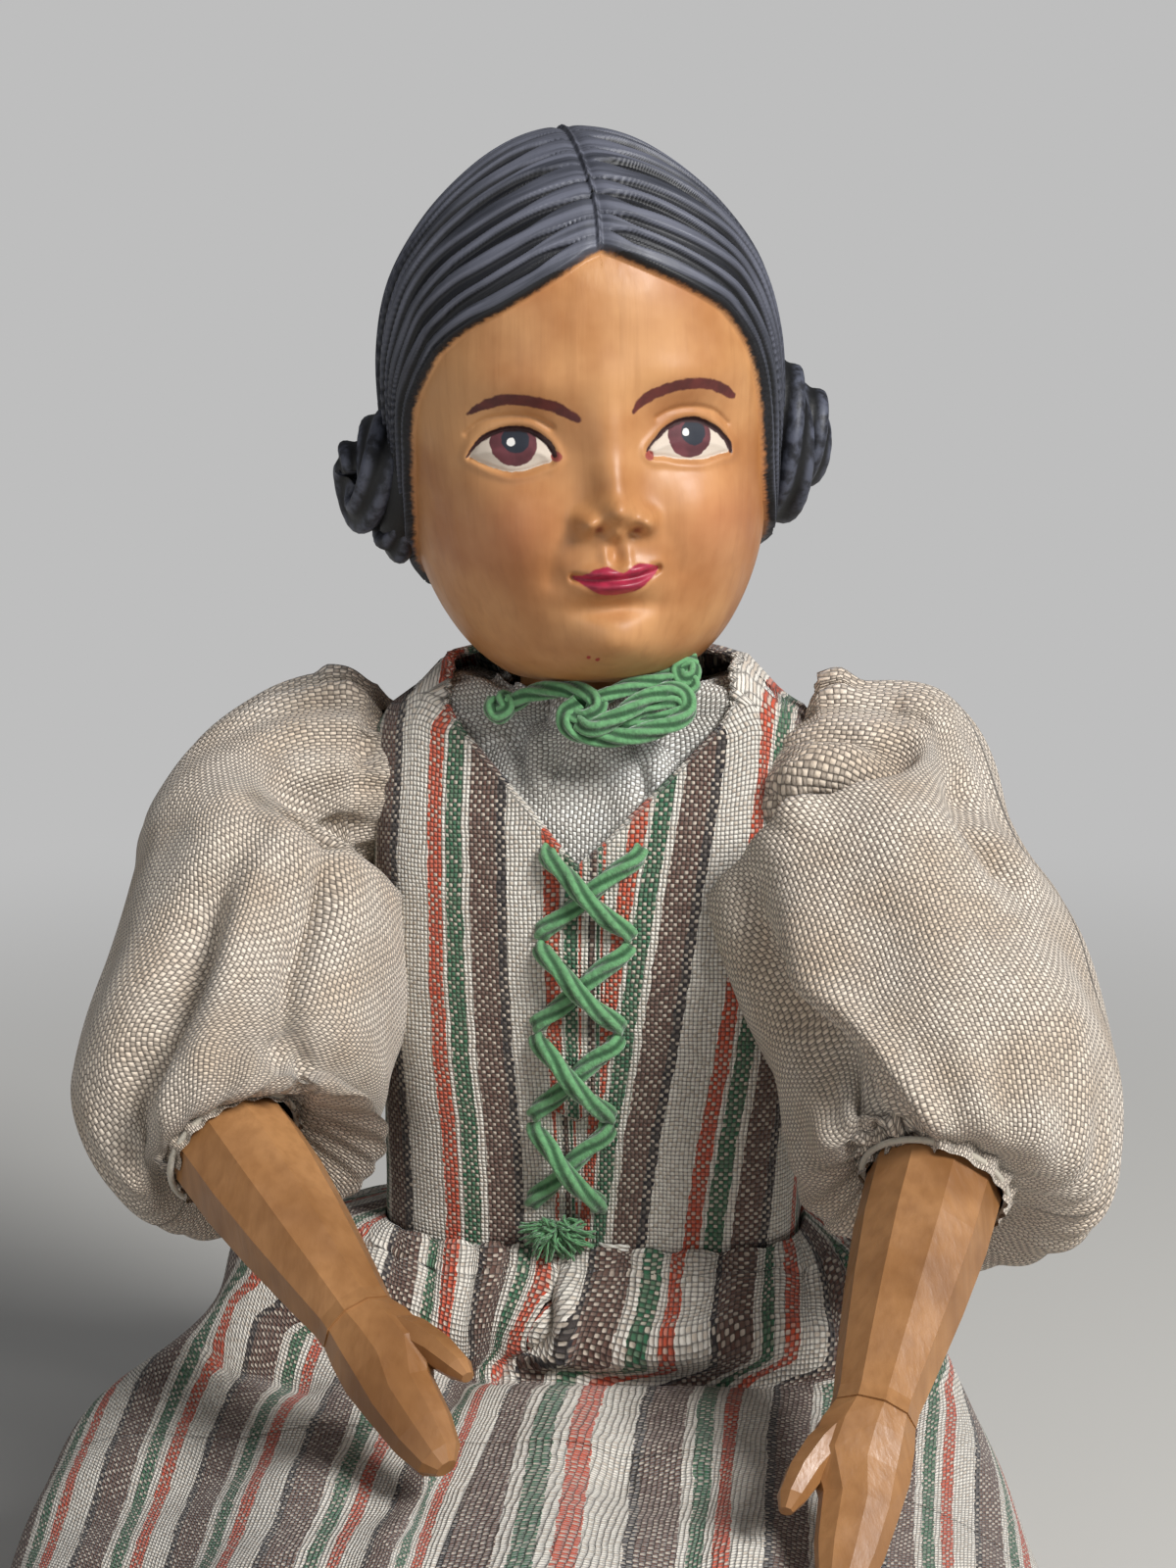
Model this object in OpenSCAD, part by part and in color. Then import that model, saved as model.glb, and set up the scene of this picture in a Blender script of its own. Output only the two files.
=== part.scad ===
// Peg-jointed wooden doll, seated, in a laced and striped woven dress.
// Millimetres, +Z up. The doll faces -Y and its left hand is on the +X side.
// The origin is the middle of the flat wooden seat, on the surface it sits on.

/* [Head] */
// Height of the head from the jaw to the crown
head_h = 60; // [50:1:70]
// Width of the bare head across the temples
head_w = 42; // [36:1:48]
// Depth of the head from the forehead to the back
head_d = 50; // [42:1:56]
// Thickness of the carved hair over the head
hair_thick = 1.3; // [0.8:0.1:2]
// Height of a coiled bun of hair
bun_h = 19.5; // [16:0.5:22]
// How far a bun stands out from the side of the head
bun_out = 8; // [5:0.2:9]
// Turn of the head to the doll's left at rest
head_turn = 16; // [-40:1:40]
// Tilt of the carved head towards the doll's right
head_tilt = 3.5; // [0:0.5:8]

/* [Torso] */
// Height of the torso from the seat to the shoulders
torso_h = 99; // [90:1:110]
// Width of the torso across the chest
chest_w = 44; // [40:1:48]
// Depth of the torso at the hips
hip_d = 30; // [28:1:34]
// Radius of the neck
neck_r = 8.6; // [7.5:0.1:10]
// Length of the neck above the shoulders
neck_h = 6; // [5:0.5:10]

/* [Arms] */
// Depth of the shoulder pegs below the shoulders
shoulder_drop = 7; // [5:0.5:11]
// Length of the upper arm between its two joints
upper_arm_len = 41; // [38:1:46]
// Length of the forearm from the elbow to the wrist
forearm_len = 38; // [35:1:42]
// Length of the hand
hand_len = 19; // [16:0.5:22]
// Thickness of the forearm below the elbow
forearm_w = 14.4; // [13:0.2:15.4]
// Thickness of the wrist
wrist_w = 8.4; // [7:0.2:9.6]
// Outward slope of the upper arms
arm_spread = 19; // [14:1:24]
// Turn of the elbow pin round the left upper arm
arm_turn_left = 71; // [60:1:80]
// Turn of the elbow pin round the right upper arm
arm_turn_right = 76; // [60:1:80]
// Forward swing of the left arm at rest
arm_tilt_left = 41; // [38:1:60]
// Forward swing of the right arm at rest
arm_tilt_right = 37.5; // [36:0.5:60]
// Bend of the left elbow at rest
elbow_turn_left = 31; // [20:1:60]
// Bend of the right elbow at rest
elbow_turn_right = 59.5; // [50:0.5:70]

/* [Legs] */
// Height of the hip and knee pins above the seat
hip_z = 12.5; // [12.5:0.1:14]
// Distance of each leg from the middle
leg_x = 13.5; // [13:0.5:15]
// Length of the thigh from hip to knee
thigh_len = 62; // [56:1:68]
// Length of the lower leg from the knee to the sole
shin_len = 72; // [66:1:78]
// Thickness of the thigh
thigh_w = 20; // [18:0.5:21]
// Length of the carved boot
boot_len = 27; // [24:1:30]

/* [Joints] */
// Radius of the shoulder pegs
peg_r = 2.2; // [1.8:0.1:2.6]
// Radius of the hip and knee pins
pin_r = 2; // [1.5:0.1:2.4]
// Radius of the elbow pins
elbow_pin_r = 1.5; // [1.2:0.1:1.8]
// Thickness of the hip and knee tongues
tongue_t = 7; // [6:0.2:7.6]
// Thickness of the elbow tongues
elbow_tongue_t = 4.6; // [4:0.2:5]
// Radial clearance of a pin in the piece that turns on it
pin_fit = 0.08; // [0.05:0.01:0.1]
// Clearance between a tongue and its groove
groove_fit = 0.35; // [0.3:0.05:0.45]

/* [Dress] */
// Thickness of the woven cloth
cloth_t = 0.9; // [0.7:0.1:1.1]
// Clearance of the cloth from the wood
cloth_gap = 0.3; // [0.3:0.05:0.4]
// Height of the waist seam above the seat
waist_z = 42; // [40:0.5:46]
// Depth of the open neckline below the shoulders
neckline_drop = 14; // [11:0.5:17]
// Half width of the open neckline at the shoulders
neckline_w = 13; // [11:0.5:14]
// Fullness of the left sleeve as a radius
sleeve_left_r = 18; // [16:0.5:21]
// Fullness of the right sleeve as a radius
sleeve_right_r = 17; // [15:0.5:21]
// Radius of the gathered cuff
cuff_r = 8; // [7.9:0.05:8.6]
// Distance of the cuff past the elbow
cuff_drop = 9; // [8.5:0.5:11]
// Spread of the skirt to each side over the lap
skirt_spread = 56; // [44:1:60]
// Length of the skirt over the legs, from the middle of the seat to the hem
skirt_len = 108; // [100:1:118]
// How far the fold of the skirt stands up over the right hip, as a share
hip_fold = 1; // [0:0.1:1]
// Thickness of the yarn
yarn_d = 2; // [1.6:0.1:2.3]

/* [Hidden] */

wood = "peru";
hair_paint = [0.2, 0.21, 0.24];
cream = [0.82, 0.76, 0.68];
stripe = [0.62, 0.5, 0.42];
yarn = [0.35, 0.58, 0.38];

overrun = thigh_w;
slack = cloth_gap;
glue_fit = pin_fit / 2;
shoulder_z = torso_h - shoulder_drop;

// Plain helpers
function mix(a, b, t) = a + (b - a) * t;
function clamp(t) = min(max(t, 0), 1);
function ease(t) = let (c = clamp(t)) c * c * (3 - 2 * c);
function unit(v) = v / max(norm(v), 0.000001);
function bell(x, z, s) = exp(-pow((x - s[0]) / s[2], 2) - pow((z - s[1]) / s[3], 2));

// Smooth curve through evenly spaced knots, numbers or points, at t from 0 to 1
function curve(knots, t) =
    let (n = len(knots) - 1, s = clamp(t) * n, i = min(floor(s), n - 1), f = s - i,
        b = knots[i], c = knots[i + 1],
        a = i > 0 ? knots[i - 1] : 2 * b - c,
        d = i < n - 1 ? knots[i + 2] : 2 * c - b)
    b + f * ((c - a) + f * ((2 * a - 5 * b + 4 * c - d) + f * (3 * b - a - 3 * c + d))) / 2;

// One ring of a superellipse, with its own front and back depth
function oval(w, front, back, z, count, power = 1, y = 0) = [
    for (i = [0:count - 1])
        let (a = i * 360 / count, s = sin(a), c = cos(a),
            d = c > 0 ? front : back)
        [w * sign(s) * pow(abs(s), power), y - d * sign(c) * pow(abs(c), power), z]
];

// Solid through a list of rings, each with as many points, closed by two fans
module loft(rings) {
    n = len(rings[0]);
    m = len(rings);
    ends = [for (r = [rings[0], rings[m - 1]]) [for (k = [0:2]) [for (p = r) p[k]] * [for (p = r) 1] / n]];
    walls = [
        for (j = [0:m - 2], i = [0:n - 1])
            let (a = j * n + i, b = j * n + (i + 1) % n)
            each [[a, a + n, b + n], [a, b + n, b]]
    ];
    foot = [for (i = [0:n - 1]) [m * n, i, (i + 1) % n]];
    top = [for (i = [0:n - 1]) [m * n + 1, (m - 1) * n + (i + 1) % n, (m - 1) * n + i]];
    polyhedron(concat([for (r = rings) each r], ends), concat(walls, foot, top));
}

// Closed sheet of cloth between an outer and an inner grid of points
module sheet(outer, inner, wrap) {
    m = len(outer);
    n = len(outer[0]);
    k = m * n;
    far = (m - 1) * n;
    last = wrap ? n - 1 : n - 2;
    out = [
        for (j = [0:m - 2], i = [0:last])
            let (a = j * n + i, b = j * n + (i + 1) % n)
            each [[a, a + n, b + n], [a, b + n, b]]
    ];
    lining = [for (f = out) [f[2] + k, f[1] + k, f[0] + k]];
    start = [
        for (i = [0:last])
            let (a = i, b = (i + 1) % n)
            each [[a, b, b + k], [a, b + k, a + k]]
    ];
    finish = [
        for (i = [0:last])
            let (a = far + i, b = far + (i + 1) % n)
            each [[a, a + k, b + k], [a, b + k, b]]
    ];
    sides = wrap ? [] : [
        for (j = [0:m - 2])
            let (a = j * n, b = j * n + n - 1)
            each [
                [a + n, a, a + k], [a + n, a + k, a + n + k],
                [b, b + n, b + n + k], [b, b + n + k, b + k]
            ]
    ];
    polyhedron(
        concat([for (r = outer) each r], [for (r = inner) each r]),
        concat(out, lining, start, finish, sides)
    );
}

// Grid moved inwards along its own normals
function inset(grid, depth, wrap) =
    let (m = len(grid), n = len(grid[0]))
    [
        for (j = [0:m - 1]) [
            for (i = [0:n - 1])
                let (
                    up = grid[min(j + 1, m - 1)][i] - grid[max(j - 1, 0)][i],
                    on = wrap ? grid[j][(i + 1) % n] - grid[j][(i + n - 1) % n]
                        : grid[j][min(i + 1, n - 1)] - grid[j][max(i - 1, 0)]
                )
                grid[j][i] - depth * unit(cross(on, up))
        ]
    ];

// Lining of a tube of cloth, which lies on the side of each ring's heart
function lining(grid, hearts, depth) =
    let (m = len(grid), n = len(grid[0]))
    [
        for (j = [0:m - 1]) [
            for (i = [0:n - 1])
                let (
                    p = grid[j][i],
                    up = grid[min(j + 1, m - 1)][i] - grid[max(j - 1, 0)][i],
                    on = grid[j][(i + 1) % n] - grid[j][(i + n - 1) % n],
                    normal = unit(cross(on, up)),
                    way = normal * (hearts[j] - p)
                )
                p + depth * (way < 0 ? -normal : normal)
        ]
    ];

// Round yarn or cord along a smooth route through hand-placed points
function yarn_ring(p, along, r, sides) =
    let (side = unit(cross(along, abs(along[2]) > 0.9 * norm(along) ? [1, 0, 0] : [0, 0, 1])),
        up = unit(cross(along, side)))
    [for (i = [0:sides - 1]) let (a = i * 360 / sides) p + r * (cos(a) * side + sin(a) * up)];

module tube(route, r, steps, sides = 8) {
    count = (len(route) - 1) * steps;
    rings = [
        for (j = [0:count])
            let (t = j / count, e = 1 / count / 4)
            yarn_ring(curve(route, t), curve(route, t + e) - curve(route, t - e), r, sides)
    ];
    loft(rings);
}

// Head. Shares run from the jaw to the crown in equal steps of angle.
head_z = torso_h + neck_h + slack;
head_width_shares = [0, 0.38, 0.61, 0.78, 0.9, 0.955, 1, 1, 0.92, 0.735, 0.5, 0.26, 0];
head_front_shares = [0, 0.46, 0.72, 0.83, 0.865, 0.88, 0.9, 0.93, 0.9, 0.75, 0.52, 0.27, 0];
head_back_shares = [0, 0.3, 0.5, 0.64, 0.78, 0.92, 1.03, 1.07, 1, 0.81, 0.56, 0.29, 0];
// Lower edge of the hair from the forehead round to the nape, as shares of the height
hair_edge_shares = [
    0.775, 0.755, 0.72, 0.68, 0.62, 0.52, 0.3, 0.19,
    0.15, 0.12, 0.1, 0.09, 0.085, 0.08, 0.08, 0.08
];
// Carved features of the face: place across and up, spread across and up, and height,
// as shares of the height of the head
face_shares = [
    [0, 0.335, 0.03, 0.036, 0.068],
    [0, 0.385, 0.024, 0.055, 0.042],
    [0, 0.445, 0.026, 0.05, 0.018],
    [0.05, 0.3, 0.022, 0.024, 0.028],
    [-0.05, 0.3, 0.022, 0.024, 0.028],
    [0.158, 0.428, 0.08, 0.05, -0.03],
    [-0.158, 0.428, 0.08, 0.05, -0.03],
    [0.162, 0.43, 0.055, 0.032, 0.018],
    [-0.162, 0.43, 0.055, 0.032, 0.018],
    [0.15, 0.53, 0.1, 0.034, 0.01],
    [-0.15, 0.53, 0.1, 0.034, 0.01],
    [0.2, 0.265, 0.095, 0.085, 0.026],
    [-0.2, 0.265, 0.095, 0.085, 0.026],
    [0, 0.2, 0.1, 0.065, 0.024],
    [0, 0.212, 0.05, 0.017, 0.014],
    [0, 0.17, 0.055, 0.017, 0.016],
    [0, 0.193, 0.075, 0.008, -0.014],
    [0, 0.138, 0.08, 0.02, -0.016],
    [0, 0.085, 0.075, 0.05, 0.03]
];
head_segments = 48;
head_rings = 38;
// Rings below the hairline
face_rings = 24;

// Angle round the head of one column, closer together at the face
function head_angle(i) = let (t = 2 * i / head_segments - 1) 180 * (0.42 * t + 0.58 * t * t * t);

// Height of one ring as a share, so that a ring runs along the edge of the hair
function ring_share(j, edge) =
    let (k = min(max(j, 0.4), head_rings - 0.4), e = acos(1 - 2 * edge) / 180)
    k <= face_rings ? e * k / face_rings : e + (1 - e) * (k - face_rings) / (head_rings - face_rings);

function head_point(i, j) =
    let (
        a = head_angle(i),
        edge = curve(hair_edge_shares, abs(a) / 180),
        t = ring_share(j, edge),
        h = (1 - cos(180 * t)) / 2,
        width = curve(head_width_shares, t) * head_w / 2,
        depth = curve(abs(a) < 90 ? head_front_shares : head_back_shares, t) * head_d / 2,
        x = width * sign(sin(a)) * pow(abs(sin(a)), 0.92),
        y = -depth * sign(cos(a)) * pow(abs(cos(a)), 0.92),
        hair = hair_thick * ease((j - face_rings) / 1.5),
        parting = hair / 2 * exp(-pow(x / hair_thick, 2)),
        front = ease(1 - abs(a) / 80),
        bumps = [for (f = face_shares) f[4] * bell(x / head_h, h, f)] * [for (f = face_shares) 1],
        out = unit([x / head_w, y / head_d, (h - 0.5) / 1.2])
    )
    [x, y - front * bumps * head_h, h * head_h] + (hair - parting) * out;

// Solid with the head's own surface over part of the head, reaching inwards
module head_patch(i0, i1, j0, j1, grow, depth) {
    outer = [for (j = [j0:j1]) [for (i = [i0:i1]) let (p = head_point(i, j)) p + grow * unit([p[0], p[1], 0])]];
    sheet(outer, [for (r = outer) [for (p = r) p - depth * unit([p[0], p[1], 0])]], false);
}

module head_place() {
    translate([0, 0, head_z])
        rotate([0, 0, head_turn])
            rotate([0, -head_tilt, 0])
                children();
}

jaw_flat = head_h / 40;
module head() {
    socket = neck_peg_len / 2 + glue_fit;
    color(wood)
        difference() {
            head_place()
                translate([0, 0, -jaw_flat])
                    loft([for (j = [0:head_rings]) [for (i = [0:head_segments - 1]) head_point(i, j)]]);
            translate([0, 0, head_z - overrun])
                cylinder(r = head_w, h = overrun);
            translate([0, 0, head_z - overrun])
                cylinder(r = neck_peg_r + glue_fit, h = overrun + socket, $fn = 48);
        }
}

// Coiled bun of carved hair, an oval cushion with a spiral of strands
bun_segments = 26;
bun_rings = 13;
bun_turns = 3;
module bun(side) {
    bun_z = (side > 0 ? 0.44 : 0.405) * head_h;
    root = head_w * 0.43;
    reach = bun_out + head_w / 2 - root;
    near = head_segments / 2 + side * head_segments * 0.33;
    reach_i = head_segments * 0.12;
    rings = [
        for (j = [0:bun_rings])
            let (t = j / bun_rings, a = 90 * t, rise = sin(a), girth = cos(a) * 0.98 + 0.02)
            [
                for (i = [bun_segments - 1:-1:0])
                    let (
                        b = i * 360 / bun_segments,
                        strand = 1 + 0.06 * sin(side * b + 360 * bun_turns * t),
                        r = bun_h / 2 * girth * strand
                    )
                    [r * 0.9 * sin(b), r * cos(b), reach * rise * strand]
            ]
    ];
    color(hair_paint)
        difference() {
            head_place()
                translate([side * root, head_d * 0.04, bun_z])
                    rotate([90, 0, side * 90])
                        loft(rings);
            head_place()
                translate([0, 0, -jaw_flat])
                    head_patch(floor(near - reach_i), ceil(near + reach_i), face_rings - 5, face_rings + 9, slack / 3, head_w / 4);
        }
}

// Dowel that joins the head to the neck and lets it turn
neck_peg_r = 3.5;
neck_peg_len = 24;
module neck_peg() {
    color("burlywood")
        translate([0, 0, head_z - neck_peg_len / 2])
            cylinder(r = neck_peg_r, h = neck_peg_len, $fn = 48);
}

// Torso: shares of its height, of half the chest's width and of half the hips' depth,
// and how square the section is
torso_shares = [
    [0, 0.98, 0.94, 0.72], [0.04, 1.02, 0.99, 0.72], [0.2, 1.04, 1, 0.72], [0.3, 1, 0.92, 0.7],
    [0.42, 0.96, 0.82, 0.66], [0.56, 0.97, 0.86, 0.6], [0.72, 1, 0.93, 0.55], [0.84, 1, 0.88, 0.52],
    [0.91, 0.985, 0.76, 0.52], [0.96, 0.94, 0.58, 0.55], [0.988, 0.85, 0.42, 0.6], [1, 0.74, 0.3, 0.66]
];
// The dress over it from the waist, which stands off the shoulders and rises at the neck
dress_shares = [
    [0.47, 0.965, 0.83, 0.62], [0.56, 0.97, 0.86, 0.6], [0.65, 0.99, 0.9, 0.56], [0.74, 1, 0.93, 0.54],
    [0.83, 1, 0.89, 0.52], [0.9, 1, 0.78, 0.5], [0.95, 1.01, 0.66, 0.5], [0.985, 1.005, 0.54, 0.5],
    [1, 0.94, 0.46, 0.55], [1.008, 0.62, 0.42, 0.8], [1.016, 0.44, 0.36, 1]
];
body_segments = 32;
dress_segments = 28;

function body_ring(k, grow, count) = oval(
    k[1] * chest_w / 2 + grow, k[2] * hip_d / 2 + grow, k[2] * hip_d / 2 + grow,
    k[0] * torso_h + grow * clamp((k[0] - 0.95) / 0.05), count, k[3]
);

// Body shape grown outwards by the same distance all round
module body(grow) {
    loft([for (k = torso_shares) body_ring(k, grow, body_segments)]);
}

// Cloth shell over the body between two distances from it
module body_shell(shares, inner, outer) {
    sheet(
        [for (k = shares) body_ring(k, outer, dress_segments)],
        [for (k = shares) body_ring(k, inner, dress_segments)],
        true
    );
}

// Half width of the dress at a height and a distance in front
function dress_x(y, z, grow) =
    let (
        w = lookup(z, [for (k = dress_shares) [k[0] * torso_h, k[1]]]) * chest_w / 2 + grow,
        d = lookup(z, [for (k = dress_shares) [k[0] * torso_h, k[2]]]) * hip_d / 2 + grow,
        q = lookup(z, [for (k = dress_shares) [k[0] * torso_h, k[3]]])
    )
    w * pow(max(1 - pow(min(abs(y) / d, 1), 1 / q), 0), q);

hip_y = -5;
hip_round = hip_z;
tongue_r = hip_z - 1.5;
module hip_groove(side) {
    wide = tongue_t + 2 * groove_fit;
    high = tongue_r - groove_fit;
    translate([side * leg_x - wide / 2, 0, 0])
        union() {
            translate([0, hip_y, hip_z])
                rotate([0, 90, 0])
                    cylinder(r = tongue_r + groove_fit, h = wide, $fn = 64);
            translate([0, hip_y - hip_d, hip_z - hip_d])
                cube([wide, hip_d, hip_d + high]);
            translate([0, hip_y - hip_d, hip_z - hip_d])
                cube([wide, hip_d + high, hip_d]);
        }
}

module torso() {
    peg_len = peg_reach;
    color(wood)
        difference() {
            union() {
                body(0);
                translate([0, 0, torso_h - neck_h])
                    cylinder(r = neck_r, h = 2 * neck_h, $fn = 48);
            }
            // Lower front edge rounded about the hip pins
            difference() {
                translate([-chest_w, hip_y - hip_d, -overrun])
                    cube([2 * chest_w, hip_d, hip_z + overrun]);
                translate([-chest_w, hip_y, hip_z])
                    rotate([0, 90, 0])
                        cylinder(r = hip_round, h = 2 * chest_w, $fn = 96);
            }
            for (side = [-1, 1]) {
                hip_groove(side);
                translate([side * hip_pin_in, hip_y, hip_z])
                    rotate([0, side * 90, 0])
                        cylinder(r = pin_r + glue_fit, h = overrun, $fn = 48);
                translate([side * (shoulder_in - peg_len), 0, shoulder_z])
                    rotate([0, side * 90, 0])
                        cylinder(r = peg_r + glue_fit, h = overrun, $fn = 48);
            }
            translate([0, 0, head_z - neck_peg_len / 2 - slack])
                cylinder(r = neck_peg_r + pin_fit, h = neck_peg_len, $fn = 48);
        }
}

// Shoulder: a headed peg holds each arm to the side of the torso
shoulder_in = chest_w / 2 * 1.005;
shoulder_x = 28;
arm_cap_r = 6.9;
arm_cap_t = 9;
peg_reach = 9;
peg_head_r = 4;
peg_head_t = 1.5;
arm_in = shoulder_in + slack;
module shoulder_peg(side) {
    color("burlywood")
        translate([side * (shoulder_in - peg_reach), 0, shoulder_z])
            rotate([0, side * 90, 0])
                union() {
                    cylinder(r = peg_r, h = peg_reach + 2 * slack + arm_cap_t, $fn = 48);
                    translate([0, 0, peg_reach + 2 * slack + arm_cap_t])
                        cylinder(r = peg_head_r, h = peg_head_t, $fn = 48);
                }
}

function arm_swing(side) = side > 0 ? arm_tilt_left : arm_tilt_right;
function arm_bend(side) = side > 0 ? elbow_turn_left : elbow_turn_right;
function arm_twist(side) = side > 0 ? arm_turn_left : arm_turn_right;

// Everything on an arm is drawn hanging straight down from the shoulder of the left side
module arm_place(side) {
    mirror([side > 0 ? 0 : 1, 0, 0])
        translate([shoulder_x, 0, shoulder_z])
            rotate([-arm_swing(side), 0, 0])
                rotate([0, -arm_spread, 0])
                    rotate([0, 0, -arm_twist(side)])
                        children();
}

module forearm_place(side) {
    arm_place(side)
        translate([0, 0, -upper_arm_len])
            rotate([-arm_bend(side), 0, 0])
                children();
}

// One ring of a whittled limb, with a few flat knife facets
function whittled(w, d, z, x = 0, y = 0, facets = 10) = [
    for (i = [0:facets - 1])
        let (a = (i + 0.5) * 360 / facets)
        [x + w / 2 * sin(a), y - d / 2 * cos(a), z]
];

elbow_r = forearm_w / 2 - 0.3;
fork_w = forearm_w * 0.88;
module upper_arm(side) {
    wide = elbow_tongue_t + 2 * groove_fit;
    color(wood)
        difference() {
            union() {
                mirror([side > 0 ? 0 : 1, 0, 0])
                    translate([arm_in, 0, shoulder_z])
                        rotate([0, 90, 0])
                            cylinder(r = arm_cap_r, h = arm_cap_t, $fn = 48);
                arm_place(side)
                    loft([
                        whittled(fork_w * 0.8, fork_w * 0.8, -upper_arm_len + elbow_r * 0.9),
                        whittled(fork_w * 0.85, fork_w * 0.85, -upper_arm_len * 0.6),
                        whittled(fork_w * 0.85, fork_w * 0.85, -upper_arm_len * 0.35),
                        whittled(fork_w * 0.8, fork_w * 0.8, -arm_cap_r / 2)
                    ]);
                arm_place(side)
                    translate([-fork_w / 2, 0, -upper_arm_len])
                        union() {
                            rotate([0, 90, 0])
                                cylinder(r = elbow_r, h = fork_w, $fn = 48);
                            translate([0, -elbow_r * 0.8, 0])
                                cube([fork_w, elbow_r * 1.6, elbow_r * 1.3]);
                        }
            }
            arm_place(side)
                translate([-wide / 2, 0, -upper_arm_len])
                    union() {
                        rotate([0, 90, 0])
                            cylinder(r = elbow_r + groove_fit, h = wide, $fn = 48);
                        translate([0, -2 * elbow_r, -2 * elbow_r])
                            cube([wide, 2 * elbow_r, 3 * elbow_r - groove_fit]);
                        translate([0, -2 * elbow_r, -2 * elbow_r])
                            cube([wide, 3 * elbow_r - groove_fit, 2 * elbow_r]);
                    }
            arm_place(side)
                translate([-fork_w, 0, -upper_arm_len])
                    rotate([0, 90, 0])
                        cylinder(r = elbow_pin_r + glue_fit, h = 2 * fork_w, $fn = 48);
            mirror([side > 0 ? 0 : 1, 0, 0])
                translate([0, 0, shoulder_z])
                    rotate([0, 90, 0])
                        cylinder(r = peg_r + pin_fit, h = 2 * chest_w, $fn = 48);
            mirror([side > 0 ? 0 : 1, 0, 0])
                translate([arm_in - overrun, -overrun, shoulder_z - overrun])
                    cube([overrun, 2 * overrun, 2 * overrun]);
            mirror([side > 0 ? 0 : 1, 0, 0])
                translate([arm_in + arm_cap_t, 0, shoulder_z])
                    rotate([0, 90, 0])
                        cylinder(r = peg_head_r + slack, h = overrun, $fn = 48);
        }
}

module elbow_pin(side) {
    color("burlywood")
        arm_place(side)
            translate([-fork_w / 2, 0, -upper_arm_len])
                rotate([0, 90, 0])
                    cylinder(r = elbow_pin_r, h = fork_w, $fn = 48);
}

// Forearm and hand: stations as shares of the length past the elbow, then the widths
forearm_shares = [
    [0.2, 0.9, 0.86], [0.27, 1, 0.97], [0.45, 0.97, 0.95], [0.65, 0.84, 0.84],
    [0.85, 0.67, 0.69], [0.96, 0.585, 0.6], [1, 0.6, 0.6]
];
// Hand: how far past the wrist, width across, thickness, and shift towards the thumb
palm_shares = [
    [0, 0.45, 0.42, 0], [0.12, 0.52, 0.4, -0.01], [0.3, 0.56, 0.36, -0.01], [0.5, 0.42, 0.33, 0.045],
    [0.75, 0.36, 0.27, 0.055], [0.93, 0.26, 0.2, 0.06], [1, 0.12, 0.1, 0.06]
];
thumb_shares = [
    [0.08, 0.24, 0.3, -0.1], [0.25, 0.24, 0.28, -0.19], [0.42, 0.2, 0.24, -0.255],
    [0.58, 0.15, 0.18, -0.29], [0.66, 0.07, 0.09, -0.3]
];
function hand_rings(shares, facets) = [
    for (k = [len(shares) - 1:-1:0])
        whittled(
            shares[k][2] * hand_len, shares[k][1] * hand_len,
            -forearm_len - shares[k][0] * hand_len, 0, shares[k][3] * hand_len, facets
        )
];

module forearm(side) {
    color(wood)
        forearm_place(side)
            difference() {
                union() {
                    loft([
                        for (k = [len(forearm_shares) - 1:-1:0])
                            whittled(
                                forearm_shares[k][1] * forearm_w, forearm_shares[k][2] * forearm_w,
                                -forearm_shares[k][0] * forearm_len
                            )
                    ]);
                    loft(hand_rings(palm_shares, 10));
                    loft(hand_rings(thumb_shares, 8));
                    translate([-elbow_tongue_t / 2, 0, 0])
                        rotate([0, 90, 0])
                            cylinder(r = elbow_r, h = elbow_tongue_t, $fn = 48);
                    translate([-elbow_tongue_t / 2, -elbow_r * 0.8, -forearm_len * 0.3])
                        cube([elbow_tongue_t, elbow_r * 1.6, forearm_len * 0.3]);
                }
                translate([-overrun, 0, 0])
                    rotate([0, 90, 0])
                        cylinder(r = elbow_pin_r + pin_fit, h = 2 * overrun, $fn = 48);
            }
}

// Hip pins lie in the torso and the thigh tongues turn on them
hip_pin_in = leg_x - tongue_t;
hip_pin_len = 2 * tongue_t;
module hip_pin(side) {
    color("burlywood")
        translate([side * hip_pin_in, hip_y, hip_z])
            rotate([0, side * 90, 0])
                cylinder(r = pin_r, h = hip_pin_len, $fn = 48);
}

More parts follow.
